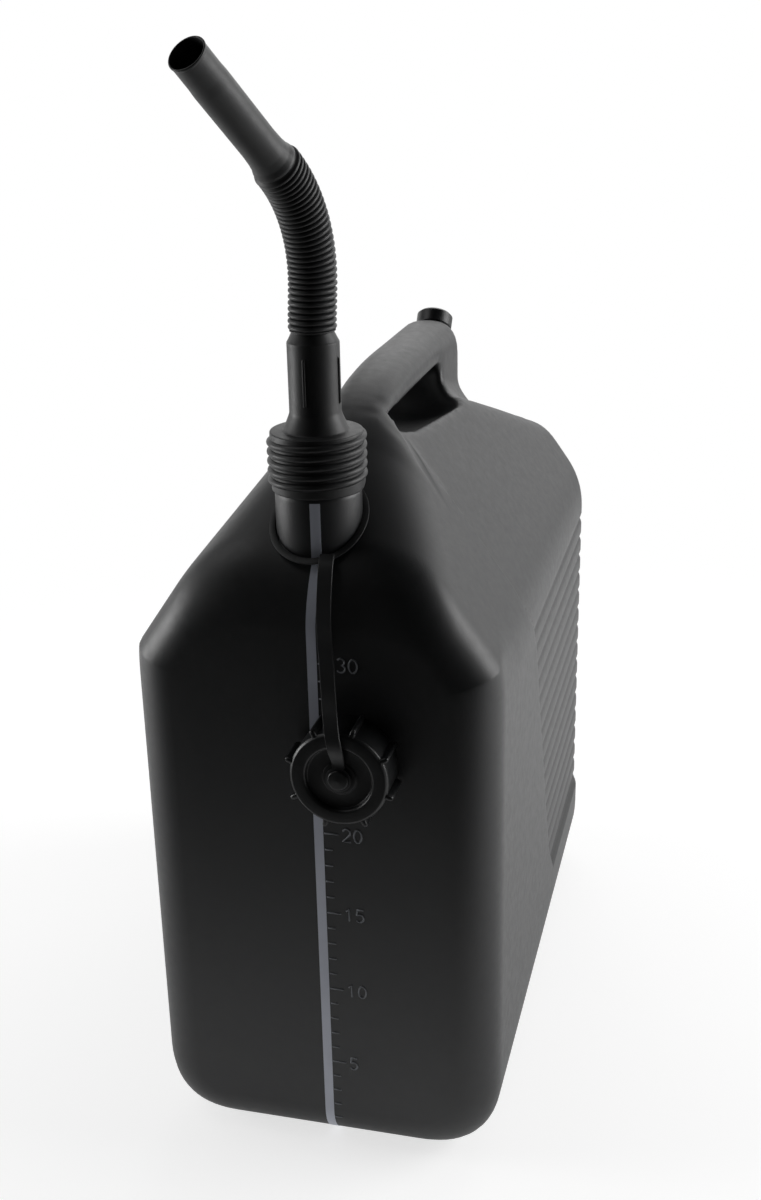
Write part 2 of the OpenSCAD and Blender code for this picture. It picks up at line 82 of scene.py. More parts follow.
# Widths of the worn patches and of the rubbing marks on every plastic, in millimetres.
PALM = 85
RUBBING = 6
Profile = list[tuple[float, float]]
Colour = tuple[float, float, float, float]


# ---------------------------------------------------------------- small helpers


def linear(hex_colour: str) -> Colour:
    """Turn an sRGB hex colour into the linear values that shaders use.

    Args:
        hex_colour: A colour such as "#26272a".

    Returns:
        Red, green, blue and alpha, linear.
    """
    parts = [int(hex_colour[i : i + 2], 16) / 255 for i in (1, 3, 5)]
    values = [c / 12.92 if c <= 0.04045 else ((c + 0.055) / 1.055) ** 2.4 for c in parts]
    return (values[0], values[1], values[2], 1.0)


def add_node(
    tree: bpy.types.NodeTree,
    kind: str,
    settings: dict[str, object] | None = None,
    inputs: dict[str | int, object] | None = None,
) -> bpy.types.Node:
    """Add a shader node with its settings, values and links.

    Args:
        tree: The node tree that gets the node.
        kind: The node's type name.
        settings: Properties of the node.
        inputs: Values or output sockets for its inputs, by name or number.

    Returns:
        The new node.
    """
    node = tree.nodes.new(kind)
    for key, value in (settings or {}).items():
        setattr(node, key, value)
    for key, value in (inputs or {}).items():
        if isinstance(value, bpy.types.NodeSocket):
            tree.links.new(value, node.inputs[key])
        else:
            node.inputs[key].default_value = value
    return node


def node_material(
    name: str,
) -> tuple[bpy.types.Material, bpy.types.NodeTree, bpy.types.NodeSocket]:
    """Start a node material.

    Args:
        name: Name of the material.

    Returns:
        The material, its tree and the surface socket of its output.
    """
    material = bpy.data.materials.new(name)
    material.use_nodes = True
    tree = material.node_tree
    tree.nodes.clear()
    return material, tree, add_node(tree, "ShaderNodeOutputMaterial").inputs["Surface"]


def noise(
    tree: bpy.types.NodeTree,
    place: bpy.types.NodeSocket,
    size: float,
    detail: float,
    roughness: float = 0.5,
) -> bpy.types.NodeSocket:
    """Add a noise pattern.

    Args:
        tree: The node tree.
        place: Coordinates in metres.
        size: Size of the pattern in millimetres.
        detail: Number of finer layers.
        roughness: Strength of the finer layers.

    Returns:
        The pattern's value.
    """
    inputs = {"Vector": place, "Scale": 1 / (size * MM), "Detail": detail, "Roughness": roughness}
    return add_node(tree, "ShaderNodeTexNoise", inputs=inputs).outputs["Fac"]


def mapped(
    tree: bpy.types.NodeTree,
    value: bpy.types.NodeSocket,
    source: tuple[float, float],
    target: tuple[float, float] = (0.0, 1.0),
    curve: str = "LINEAR",
) -> bpy.types.NodeSocket:
    """Map one range of a value onto another, held at both ends.

    Args:
        tree: The node tree.
        value: The value.
        source: Its range.
        target: The range it gets.
        curve: The node's kind of interpolation.

    Returns:
        The mapped value.
    """
    inputs = {"Value": value, "From Min": source[0], "From Max": source[1]}
    inputs |= {"To Min": target[0], "To Max": target[1]}
    node = add_node(tree, "ShaderNodeMapRange", {"interpolation_type": curve}, inputs)
    return node.outputs["Result"]


def bumped(
    tree: bpy.types.NodeTree,
    height: bpy.types.NodeSocket,
    depth: float,
    normal: dict[str, bpy.types.NodeSocket] | None = None,
) -> bpy.types.NodeSocket:
    """Add a bump to the surface.

    Args:
        tree: The node tree.
        height: The pattern.
        depth: Its depth in millimetres.
        normal: The normal it starts from, as an input by name.

    Returns:
        The bumped normal.
    """
    inputs = {"Height": height, "Distance": depth * MM, "Strength": 1.0, **(normal or {})}
    return add_node(tree, "ShaderNodeBump", inputs=inputs).outputs["Normal"]


def multiplied(
    tree: bpy.types.NodeTree, a: bpy.types.NodeSocket, b: bpy.types.NodeSocket | float
) -> bpy.types.NodeSocket:
    """Multiply two values of a node tree."""
    return add_node(tree, "ShaderNodeMath", {"operation": "MULTIPLY"}, {0: a, 1: b}).outputs[0]


def smoothstep(value: np.ndarray | float) -> np.ndarray | float:
    """Ease a value from 0 to 1, flat at both ends."""
    t = np.clip(value, 0.0, 1.0)
    return t * t * (3 - 2 * t)


def make_object(
    name: str,
    points: np.ndarray | list,
    faces: list,
    material: bpy.types.Material,
    sharp: float = 40.0,
) -> bpy.types.Object:
    """Make a smooth-shaded mesh object from points in millimetres.

    Args:
        name: Name of the object and its mesh.
        points: Points in millimetres.
        faces: Corner numbers of each face.
        material: Material of the whole piece.
        sharp: Edges with a larger angle in degrees stay sharp.

    Returns:
        The new object, linked to the scene.
    """
    mesh = bpy.data.meshes.new(name)
    mesh.from_pydata([tuple(float(c) * MM for c in p) for p in points], [], faces)
    bm = bmesh.new()
    bm.from_mesh(mesh)
    bmesh.ops.recalc_face_normals(bm, faces=bm.faces)
    for face in bm.faces:
        face.smooth = True
    for edge in bm.edges:
        edge.smooth = edge.calc_face_angle(0.0) < math.radians(sharp)
    bm.to_mesh(mesh)
    bm.free()
    mesh.materials.append(material)
    obj = bpy.data.objects.new(name, mesh)
    bpy.context.scene.collection.objects.link(obj)
    return obj


def loft_faces(rings: int, count: int) -> list[tuple[int, ...]]:
    """Give the quads between closed rings of equally many points.

    Args:
        rings: Number of rings.
        count: Points in each ring.

    Returns:
        Corner numbers of each quad.
    """
    return [
        (
            j * count + i,
            j * count + (i + 1) % count,
            (j + 1) * count + (i + 1) % count,
            (j + 1) * count + i,
        )
        for j in range(rings - 1)
        for i in range(count)
    ]


def closed_loft(rings: int, count: int) -> list[tuple[int, ...]]:
    """Give the quads between closed rings and one face over each end.

    Args:
        rings: Number of rings.
        count: Points in each ring.

    Returns:
        Corner numbers of each face.
    """
    last = (rings - 1) * count
    ends = [tuple(range(count - 1, -1, -1)), tuple(range(last, last + count))]
    return loft_faces(rings, count) + ends


def eased_profile(profile: Profile, radius: float, steps: int = 3) -> Profile:
    """Round every corner of a closed profile.

    Args:
        profile: Corners as radius and height.
        radius: Largest rounding in millimetres.
        steps: Points on each rounding, less one.

    Returns:
        The rounded profile.
    """
    points = [np.array(p, dtype=float) for p in profile]
    eased: Profile = []
    for k, p in enumerate(points):
        before, after = points[k - 1], points[(k + 1) % len(points)]
        if p[0] < 0.01:
            eased.append((float(p[0]), float(p[1])))
            continue
        size_a = max(np.linalg.norm(before - p), 1e-6)
        size_b = max(np.linalg.norm(after - p), 1e-6)
        a = p + (before - p) / size_a * min(radius, size_a * 0.45)
        b = p + (after - p) / size_b * min(radius, size_b * 0.45)
        for i in range(steps + 1):
            t = i / steps
            q = a * (1 - t) ** 2 + p * 2 * t * (1 - t) + b * t * t
            eased.append((float(q[0]), float(q[1])))
    return eased


def lathe(profile: Profile, steps: int = 96) -> tuple[list, list]:
    """Turn a closed profile about the Z axis.

    Args:
        profile: Points as radius and height, which close on themselves.
        steps: Steps around the axis.

    Returns:
        Points and faces.
    """
    count = len(profile)
    points, faces = [], []
    for j in range(steps):
        a = 2 * math.pi * j / steps
        points += [(r * math.cos(a), r * math.sin(a), z) for r, z in profile]
    for j in range(steps):
        k = (j + 1) % steps
        for i in range(count):
            n = (i + 1) % count
            faces.append((j * count + i, k * count + i, k * count + n, j * count + n))
    return points, faces


def placed(points: list | np.ndarray, matrix: Matrix) -> list[tuple[float, float, float]]:
    """Move points in millimetres by a matrix."""
    return [tuple(matrix @ Vector(p)) for p in points]


def joined(*parts: tuple[list, list]) -> tuple[list, list]:
    """Put several lists of points and faces together as one.

    Args:
        parts: Points and faces of each part.

    Returns:
        All points, and all faces with their corner numbers moved on.
    """
    points: list = []
    faces: list = []
    for more_points, more_faces in parts:
        start = len(points)
        points += list(more_points)
        faces += [tuple(start + i for i in face) for face in more_faces]
    return points, faces


def cleaned(obj: bpy.types.Object) -> None:
    """Merge doubled points of a mesh and drop what has no area.

    Args:
        obj: The piece, whose mesh is changed.
    """
    bm = bmesh.new()
    bm.from_mesh(obj.data)
    bmesh.ops.remove_doubles(bm, verts=bm.verts, dist=0.00001)
    bmesh.ops.dissolve_degenerate(bm, edges=bm.edges, dist=0.00001)
    bmesh.ops.recalc_face_normals(bm, faces=bm.faces)
    bm.to_mesh(obj.data)
    bm.free()


# ---------------------------------------------------------------- finishes


@dataclass(frozen=True)
class MouldedPlastic:
    """Polyolefin out of a textured mould: a satin skin over slightly uneven walls.

    Attributes:
        name: Name of the material.
        colour: Body colour, sRGB.
        worn: Colour where handling has greyed the skin, sRGB.
        roughness: Typical roughness of the skin.
        spread: How much the roughness varies over the skin.
        grain: Size of the mould's grain in millimetres.
        grain_depth: Depth of that grain in millimetres.
        wave: Size of the sink and pull of the wall in millimetres.
        wave_depth: Depth of it in millimetres.
        ior: Index of refraction of the plastic.
    """

    name: str
    colour: str
    worn: str
    roughness: float
    spread: float
    grain: float
    grain_depth: float
    wave: float
    wave_depth: float
    ior: float = 1.5

    def build(self) -> bpy.types.Material:
        """Make the material.

        Returns:
            A node material with colour, roughness and two bumps.
        """
        material, tree, surface = node_material(self.name)
        place = add_node(tree, "ShaderNodeTexCoord").outputs["Object"]
        # Handling and dust grey the skin in soft patches as wide as a palm.
        share = mapped(tree, noise(tree, place, PALM, 4.0, 0.6), (0.42, 0.75))
        tint = add_node(
            tree,
            "ShaderNodeMix",
            {"data_type": "RGBA"},
            {0: share, 6: linear(self.colour), 7: linear(self.worn)},
        )
        # Fine rubbing marks, a few millimetres apart, change the gloss more than the colour.
        limits = (self.roughness - self.spread, self.roughness + self.spread)
        gloss = mapped(tree, noise(tree, place, RUBBING, 3.0, 0.7), (0.25, 0.75), limits)
        # The wall sinks and pulls as it cools, so broad highlights waver a little.
        broad = bumped(tree, noise(tree, place, self.wave, 1.0), self.wave_depth)
        # The grain of the eroded mould breaks up the highlights into a satin.
        grain = noise(tree, place, self.grain, 2.0)
        fine = bumped(tree, grain, self.grain_depth, {"Normal": broad})
        shader = add_node(
            tree,
            "ShaderNodeBsdfPrincipled",
            inputs={"Base Color": tint.outputs[2], "Roughness": gloss, "IOR": self.ior, "Normal": fine},
        )
        tree.links.new(shader.outputs["BSDF"], surface)
        return material


class Finish(Enum):
    """The finishes of the can's pieces."""

    # Blow-moulded HDPE: an even satin black with the soft sheen of a grained mould.
    BLOWN_POLYETHYLENE = MouldedPlastic(
        "blown_polyethylene_black", "#151618", "#1b1c1d", 0.44, 0.04, 0.9, 0.035, 70, 0.22, 1.54
    )
    # Undyed stripe fed into the same shell: it lets the level show as a dull grey-blue.
    CLEAR_STRIPE = MouldedPlastic(
        "natural_polyethylene_stripe", "#c6cad6", "#b0b4c0", 0.34, 0.05, 0.9, 0.03, 30, 0.2, 1.54
    )
    # Raised marks of the same shell: paler and duller, a painted highlight where their edges catch the
    # light.
    RUBBED_POLYETHYLENE = MouldedPlastic(
        "marks_painted_highlight_grey", "#7e8186", "#66686c", 0.62, 0.05, 0.9, 0.03, 20, 0.1, 1.54
    )
    # Injection-moulded PP: tighter and a little glossier than the blown shell.
    MOULDED_POLYPROPYLENE = MouldedPlastic(
        "moulded_polypropylene_black", "#131415", "#1a1b1c", 0.47, 0.05, 0.7, 0.03, 40, 0.1, 1.49
    )
    # Soft LDPE of bellows and strap: deep black, waxy, with a dull edge to its gloss.
    SOFT_POLYETHYLENE = MouldedPlastic(
        "soft_polyethylene_black", "#1a1b1c", "#232426", 0.5, 0.06, 0.8, 0.03, 25, 0.08, 1.51
    )
    # PP caps with polished mould faces.
    CAP_POLYPROPYLENE = MouldedPlastic(
        "cap_polypropylene_black", "#121314", "#1b1c1d", 0.36, 0.05, 0.7, 0.02, 35, 0.08, 1.49
    )
    # Nitrile rings: matt dark grey with a dry, powdery face.
    NITRILE_RUBBER = MouldedPlastic(
        "nitrile_rubber_grey", "#3a3b3e", "#45464a", 0.72, 0.06, 0.5, 0.04, 12, 0.05, 1.52
    )


# ---------------------------------------------------------------- the blown can


@dataclass
class CanShell:
    """Blown shell: lofted walls, stepped and ribbed sides, and the handle over its hollow."""

    width: float = 225
    depth: float = 431
    height: float = 479
    side_height: float = 338
    roof_angle: float = 55
    shoulder_angle: float = 32
    shoulder_height: float = 391
    deck_angle: float = 19.7
    deck_height: float = 383
    bottom_round: float = 50
    end_round: float = 29
    handle_width: float = 43
    handle_bar: float = 23
    handle_end: float = 124
    post_back: float = 153
    hand_front: float = -94
    hand_back: float = 72
    hand_hollow: float = 52
    hand_depth: float = 34
    panel_step: float = 3
    rib_pitch: float = 15.6
    rib_depth: float = 1.6
    panel_bottom: float = 68
    panel_top: float = 304
    edge_width: float = 3.4
    rim_soft: float = 9
    rim_rounds: int = 26
    hollow_mesh: float = 2.2
    vent_lean: float = 38
    rows: int = 12
    post_foot: float = 9
    nose_start: float = 8
    nose_least: float = 9
    deck_drop: float = 9
    ledge_lead: float = 14
    ledge_slope: float = 0.65
    free_height: float = 20
    crest_fade: float = 30
    crest_bends: tuple[tuple[float, float], ...] = ((58, 95), (10, 10), (6, 6), (22, 22))
    crest: np.ndarray = field(init=False)

    def __post_init__(self) -> None:
        """Work out the crest line, as the solid has it."""
        half = self.depth / 2
        shoulder_end = -half + (self.height - self.shoulder_height) / math.tan(
            math.radians(self.shoulder_angle)
        )
        drop = (self.post_back - self.handle_end) * math.tan(math.radians(self.vent_lean))
        foot = self.post_back + self.post_foot
        corners = [
            (-half, self.shoulder_height),
            (shoulder_end, self.height),
            (self.handle_end, self.height),
            (self.post_back, self.height - drop),
            (foot, self.deck_at(foot)),
            (half, self.deck_height),
        ]
        line = [np.array([corners[0]], dtype=float)]
        for k, (before, after) in enumerate(self.crest_bends, 1):
            line.append(
                self.corner(corners[k - 1], corners[k], corners[k + 1], before, after, 16)
            )
        line.append(np.array([corners[5]], dtype=float))
        self.crest = np.concatenate(line)

    @staticmethod
    def corner(
        q: np.ndarray,
        p: np.ndarray,
        r: np.ndarray,
        a: float,
        b: float,
        n: int,
        share_a: float = 0.48,
        share_b: float = 0.48,
    ) -> np.ndarray:
        """Bend around the corner p between q and r.

        Args:
            q: Point before the corner.
            p: The corner.
            r: Point after the corner.
            a: How far the bend reaches towards q.
            b: How far the bend reaches towards r.
            n: Steps of the bend.
            share_a: Largest share of the distance to q.
            share_b: Largest share of the distance to r.

        Returns:
            The n + 1 points of the bend.
        """
        q, p, r = (np.array(v, dtype=float) for v in (q, p, r))
        size_a, size_b = np.linalg.norm(q - p), np.linalg.norm(r - p)
        start = p + (q - p) / size_a * min(a, size_a * share_a)
        end = p + (r - p) / size_b * min(b, size_b * share_b)
        t = np.linspace(0, 1, n + 1)[:, None]
        return start * (1 - t) ** 2 + p * 2 * t * (1 - t) + end * t * t

    def deck_at(self, y: float) -> float:
        """Give the height of the deck at y.

        Args:
            y: Place along the can.

        Returns:
            Height of the slope, or of the ledge under the handle where that is lower.
        """
        slope = self.deck_height + (self.depth / 2 - y) * math.tan(math.radians(self.deck_angle))
        ledge = self.height - self.handle_bar - self.deck_drop
        ahead = max(0.0, self.hand_front + self.ledge_lead - y)
        return min(slope, ledge + ahead * self.ledge_slope)

    def crest_at(self, y: float) -> float:
        """Give the height of the crest line at y."""
        return float(np.interp(y, self.crest[:, 0], self.crest[:, 1]))

    def post_at(self, y: float) -> float:
        """Give half the width of the handle at y.

        Args:
            y: Place along the can.

        Returns:
            Half the handle's width, which narrows to a round nose at the vent.
        """
        front = self.handle_end - self.nose_start
        t = (y - front) / (self.post_back + self.post_foot - front)
        half = self.handle_width / 2
        return half if t <= 0 else max(self.nose_least, half * math.sqrt(max(0.0, 1 - t * t)))

    def inset_at(self, y: float) -> float:
        """Give how far the end rounding has moved the surface in at y.

        Args:
            y: Place along the can.

        Returns:
            The distance, 0 away from both ends.
        """
        e = max(0.0, min(self.depth / 2 + y, self.depth / 2 - y))
        r = self.end_round
        return 0.0 if e >= r else r - math.sqrt(max(0.0, r * r - (r - e) ** 2))

    def half_section(self, y: float, inset: float) -> np.ndarray:
        """Give the right half of the cross-section at y.

        Args:
            y: Place along the can.
            inset: How far the surface is moved in.

        Returns:
            Points (x, z) from the middle of the underside to the middle of the crest.
        """
        slope = math.radians(self.roof_angle)
        run = 1 / math.tan(slope)
        half = self.width / 2

        def roof_x(z: float) -> float:
            """Half width of the roof at the height z."""
            return half - inset / math.sin(slope) - (z - self.side_height) * run

        def on_roof(z: float) -> np.ndarray:
            """Point of the roof at the height z."""
            return np.array([roof_x(z), z])

        w = half - inset
        crown = self.crest_at(y) - inset
        flank = max(2.0, self.post_at(y) - inset)
        eave_z = self.side_height - inset * (1 - math.sin(slope)) / math.cos(slope)
        foot = self.side_height + (half - inset / math.sin(slope) - flank) / run
        deck_z = self.deck_at(y)
        free = min(1.0, max(0.0, (foot - deck_z + inset) / self.free_height))
        deck = min(deck_z - inset, crown - 0.5)
        low = min(1.0, max(0.0, (self.height - self.crest_at(y)) / self.crest_fade))
        hip_z = max(eave_z + 12, min(foot, crown - 12 - 32 * low))
        ledge_z = max(eave_z + 3, hip_z - 9 - 8 * low)

        def mixed(a: np.ndarray | float, b: np.ndarray | float) -> np.ndarray | float:
            """Value between a, where the roof runs up to the crest, and b, at a free handle."""
            return a * (1 - free) + b * free

        knee = mixed(on_roof(hip_z), np.array([flank, deck]))
        ledge = mixed(on_roof(ledge_z), on_roof(deck))
        edge = mixed(np.array([max(flank, roof_x(crown)), crown]), np.array([flank, crown]))
        ledge_a, knee_a = mixed(4.0, 20.0), mixed(4.0, 40.0)
        top = 20 + mixed(14 * low, 0.0)
        eave = np.array([w, eave_z])
        base = max(4.0, self.bottom_round - inset)
        pieces = [
            self.corner((0, inset), (w, inset), eave, base, base, 14),
            self.corner((w, inset), eave, ledge, 22, 22, 10),
            self.corner(eave, ledge, knee, ledge_a, ledge_a, 8, 0.48, 0.2),
            self.corner(ledge, knee, edge, knee_a, knee_a, 12, 0.78, 0.37),
            self.corner(knee, edge, (-edge[0], crown), top, top, 8, 0.61, 0.49),
        ]
        fine = int((self.panel_top - self.panel_bottom + 4) / self.rib_pitch * self.rows)
        side = np.concatenate(
            [np.linspace(0.0, 0.056, 4)[1:], np.linspace(0.058, 0.962, fine), [0.98]]
        )
        foot_p, head_p = pieces[0][-1], pieces[1][0]
        side_points = foot_p + (head_p - foot_p) * side[:, None]
        line = [np.linspace((0, inset), pieces[0][0], 9)[:-1], pieces[0], side_points, pieces[1]]
        line.append(np.linspace(pieces[1][-1], pieces[2][0], 34)[1:-1])
        line += [pieces[2], np.linspace(pieces[2][-1], pieces[3][0], 5)[1:-1], pieces[3]]
        line += [np.linspace(pieces[3][-1], pieces[4][0], 5)[1:-1], pieces[4]]
        line.append(np.linspace(pieces[4][-1], (0, crown), 6)[1:])
        return np.concatenate(line)

    def stations(self) -> np.ndarray:
        """Give the places of the rings along the can, closest where the form changes fast.

        Returns:
            Every y, from the front to the back.
        """
        half, r = self.depth / 2, self.end_round
        ease = [r * (1 - math.sin(math.radians(a))) for a in range(0, 91, 9)]
        front = [-half + e for e in reversed(ease)]
        back = [half - e for e in ease]
        # Hood, border of the side panel, bar over the hollow, its end, post and back.
        cuts = [
            np.arange(front[-1] + 4, -101, 3.8),
            [-99.5, -97.5, -95.8, -94.6, -93.4, -92.2, -90.4],
            np.arange(-88, 56, 2.45),
            np.arange(57, 112, 4.2),
            np.arange(113, 176, 2.4),
            np.arange(178, back[0] - 2, 3.5),
        ]
        return np.concatenate([front, *[np.array(c, dtype=float) for c in cuts], back])

    def step_mask(self, y: float, z: np.ndarray) -> np.ndarray:
        """Tell how far points of the side lie inside the stepped-back area.

        Args:
            y: Place along the can.
            z: Heights of the points.

        Returns:
            Shares from 0, on the front frame, to 1, on the panel.
        """
        outline = np.array(
            [
                (-94, self.height + 40),
                (-94, self.side_height + 6),
                (-62, self.panel_top),
                (-43, self.panel_top - 52),
                (22, self.panel_bottom + 32),
                (50, self.panel_bottom),
                (self.depth, self.panel_bottom),
            ],
            dtype=float,
        )
        least = np.full(z.shape, 1e9)
        for a, b in zip(outline[:-1], outline[1:]):
            along = b - a
            t = np.clip(((y - a[0]) * along[0] + (z - a[1]) * along[1]) / (along @ along), 0, 1)
            least = np.minimum(least, np.hypot(a[0] + t * along[0] - y, a[1] + t * along[1] - z))
        border = np.interp(z, outline[::-1, 1], outline[::-1, 0], left=1e3)
        inside = (y > border) & (z > self.panel_bottom)
        signed = np.where(inside, least, -least)
        return smoothstep(signed / self.edge_width + 0.5)

    def ring(self, y: float) -> np.ndarray:
        """Give the whole cross-section at y, with the step and the ribs.

        Args:
            y: Place along the can.

        Returns:
            Points (x, y, z), closed by the mirrored half.
        """
        inset = self.inset_at(y)
        plain = self.half_section(y, inset)
        stepped = self.half_section(y, inset + max(0.0, self.panel_step - inset))
        mask = self.step_mask(y, plain[:, 1])
        near_handle = smoothstep((plain[:, 0] - self.handle_width / 2 - 2) / 13)
        share = (mask * near_handle)[:, None]
        line = plain + (stepped - plain) * share
        u = (line[:, 1] - self.panel_bottom - 3) / self.rib_pitch
        count = math.floor((self.panel_top - self.panel_bottom) / self.rib_pitch)
        in_rows = (u > -0.25) & (u < count)
        valley = self.rib_depth * np.abs(2 * (u - np.floor(u)) - 1) ** 3.2
        face = self.width / 2 - self.panel_step - np.where(in_rows, valley, 0)
        over = np.maximum(0, line[:, 0] - face)
        line[:, 0] -= np.where(in_rows, mask * over, 0)
        right = np.column_stack([line[:, 0], np.full(len(line), y), line[:, 1]])
        left = right[-2:0:-1] * np.array([-1, 1, 1])
        return np.concatenate([right, left])

    def build(self, material: bpy.types.Material) -> bpy.types.Object:
        """Loft the shell and carve the hollow under the handle.

        Args:
            material: Finish of the blown plastic.

        Returns:
            The shell.
        """
        rings = [self.ring(float(y)) for y in self.stations()]
        count = len(rings[0])
        ends = []
        for first in (rings[0], rings[-1]):
            middle = first.mean(axis=0) * np.array([0, 1, 1])
            ends.append([middle + (first - middle) * s for s in (0.06, 0.3, 0.55, 0.8)])
        rings = ends[0] + rings + ends[1][::-1]
        points = np.concatenate(rings)
        faces = closed_loft(len(rings), count)
        shell = make_object("can_shell", points, faces, material, 60)
        self.carve(shell)
        return shell

    def hollow(self, material: bpy.types.Material) -> bpy.types.Object:
        """Make the form of the hand's hollow, which leaves the bar above it.

        Args:
            material: Finish of the blown plastic.

        Returns:
            The cutter, to be deleted after its use.
        """
        under = self.height - self.handle_bar
        reach = self.hand_back - self.hand_front
        front, back = reach * 0.25, reach * 0.18
        balls = [
            (self.hand_front + front, (self.hand_hollow * 0.85, front, self.hand_depth * 0.6)),
            (self.hand_back - back, (self.hand_hollow, back, self.hand_depth)),
        ]
        steps = 72
        bm = bmesh.new()
        for y, radii in balls:
            for j in range(1, steps // 2):
                a = math.pi * j / (steps // 2)
                for i in range(steps):
                    b = 2 * math.pi * i / steps
                    spot = (
                        radii[0] * math.sin(a) * math.cos(b),
                        y + radii[1] * math.sin(a) * math.sin(b),
                        under + radii[2] * math.cos(a),
                    )
                    bm.verts.new([c * MM for c in spot])
        made = bmesh.ops.convex_hull(bm, input=bm.verts)
        spare = [v for v in made["geom_interior"] if isinstance(v, bmesh.types.BMVert)]
        bmesh.ops.delete(bm, geom=spare, context="VERTS")
        mesh = bpy.data.meshes.new("hollow")
        bm.to_mesh(mesh)
        bm.free()
        mesh.materials.append(material)
        cutter = bpy.data.objects.new("hollow", mesh)
        bpy.context.scene.collection.objects.link(cutter)
        bar_x = self.handle_width / 2 + 0.8
        top = self.height + 60
        bar = [np.array([(-bar_x, top)])]
        bar.append(self.corner((-bar_x, self.height), (-bar_x, under), (0, under), 9, 9, 8))
        bar.append(self.corner((0, under), (bar_x, under), (bar_x, self.height), 9, 9, 8))
        bar.append(np.array([(bar_x, top)]))
        outline = np.concatenate(bar)
        points = [(x, y, z) for y in (-150.0, 150.0) for x, z in outline]
        prism = make_object("bar_form", points, closed_loft(2, len(outline)), material)
        cut(cutter, prism)
        even = cutter.modifiers.new("even", "REMESH")
        even.mode = "VOXEL"
        even.voxel_size = self.hollow_mesh * MM
        settle(cutter)
        return cutter

    def carve(self, shell: bpy.types.Object) -> None:
        """Take the hollow out of the shell and soften its rim.

        Args:
            shell: The lofted shell, whose mesh is changed.
        """
        cut(shell, self.hollow(shell.data.materials[0]))
        cleaned(shell)
        self.soften_rim(shell)

    def soften_rim(self, shell: bpy.types.Object) -> None:
        """Round the edges around the hollow, as blown plastic can't make them sharp.

        Args:
            shell: The carved shell, whose mesh is changed.
        """
        bm = bmesh.new()
        bm.from_mesh(shell.data)
        bm.verts.ensure_lookup_table()
        reach = self.rim_soft * MM
        rim = [
            v.co.copy()
            for e in bm.edges
            if e.calc_face_angle(0.0) > math.radians(16)
            for v in e.verts
            if v.co.z > 0.405 and -0.1 < v.co.y < 0.08 and abs(v.co.x) < 0.056
        ]
        tree = nearest_tree(rim)
        near = {}
        for v in bm.verts:
            if v.co.z > 0.39 and -0.115 < v.co.y < 0.095:
                distance = tree.find(v.co)[2]
                if distance < reach:
                    near[v] = float(smoothstep(1.2 * (1 - distance / reach)))
        for _ in range(self.rim_rounds):
            moved = {}
            for v, weight in near.items():
                ring = [e.other_vert(v).co for e in v.link_edges]
                middle = sum(ring, Vector()) / len(ring)
                moved[v] = v.co.lerp(middle, 0.5 * weight)
            for v, spot in moved.items():
                v.co = spot
        for face in bm.faces:
            face.smooth = True
        for edge in bm.edges:
            edge.smooth = True
        bm.to_mesh(shell.data)
        bm.free()


def nearest_tree(points: list[Vector]) -> KDTree:
    """Make a tree for finding the nearest of some points.

    Args:
        points: The points.

    Returns:
        The balanced tree.
    """
    tree = KDTree(len(points))
    for i, point in enumerate(points):
        tree.insert(point, i)
    tree.balance()
    return tree


def cut(target: bpy.types.Object, cutter: bpy.types.Object) -> None:
    """Take one mesh out of another and delete the cutter.

    Args:
        target: The piece that is cut.
        cutter: The form that is taken out.
    """
    boolean = target.modifiers.new("cut", "BOOLEAN")
    boolean.object = cutter
    boolean.operation = "DIFFERENCE"
    boolean.solver = "EXACT"
    settle(target)
    bpy.data.objects.remove(cutter, do_unlink=True)


def settle(obj: bpy.types.Object) -> None:
    """Turn an object's modifiers into its mesh.

    Args:
        obj: The object, which loses its modifiers.
    """
    shown = bpy.context.evaluated_depsgraph_get()
    mesh = bpy.data.meshes.new_from_object(obj.evaluated_get(shown))
    obj.modifiers.clear()
    old = obj.data
    obj.data = mesh
    bpy.data.meshes.remove(old)


# ---------------------------------------------------------------- neck, vent and front marks


@dataclass
class Neck:
    """Blown neck under the spout's collar, and the small neck of the vent."""

    y: float = NECK_Y
    seat: float = SEAT_Z
    root: float = 20
    radius: float = 25.25
    inner_radius: float = 24.65
    bore: float = 21.5
    shoulder_z: float = 436.3
    top: float = 466.46
    vent_y: float = 138.5
    vent_z: float = 467.671
    vent_lean: float = 38
    vent_seat: float = 13.4
    vent_radius: float = 8.5
    vent_top: float = 9.56

    def build(self, material: bpy.types.Material) -> list[bpy.types.Object]:
        """Make both necks.

        Args:
            material: Finish of the blown plastic.

        Returns:
            The neck and the vent's neck.
        """
        foot = self.seat - self.root
        profile = [
            (self.bore, foot),
            (self.radius, foot),
            (self.radius, self.shoulder_z - 1.5),
            (self.inner_radius, self.shoulder_z),
            (self.inner_radius, self.top),
            (self.bore, self.top),
        ]
        points, faces = lathe(eased_profile(profile, 1.2), 128)
        place = Matrix.Translation((0, self.y, 0))
        neck = make_object("can_neck", placed(points, place), faces, material)
        seat = [
            (4.0, -9),
            (self.vent_seat, -9),
            (self.vent_seat, 0.8),
            (self.vent_radius, 0.8),
            (self.vent_radius, self.vent_top),
            (4.0, self.vent_top),
        ]
        points, faces = lathe(eased_profile(seat, 0.8), 64)
        place = Matrix.Translation((0, self.vent_y, self.vent_z)) @ Matrix.Rotation(
            -math.radians(self.vent_lean), 4, "X"
        )
        vent = make_object("vent_neck", placed(points, place), faces, material)
        return [neck, vent]


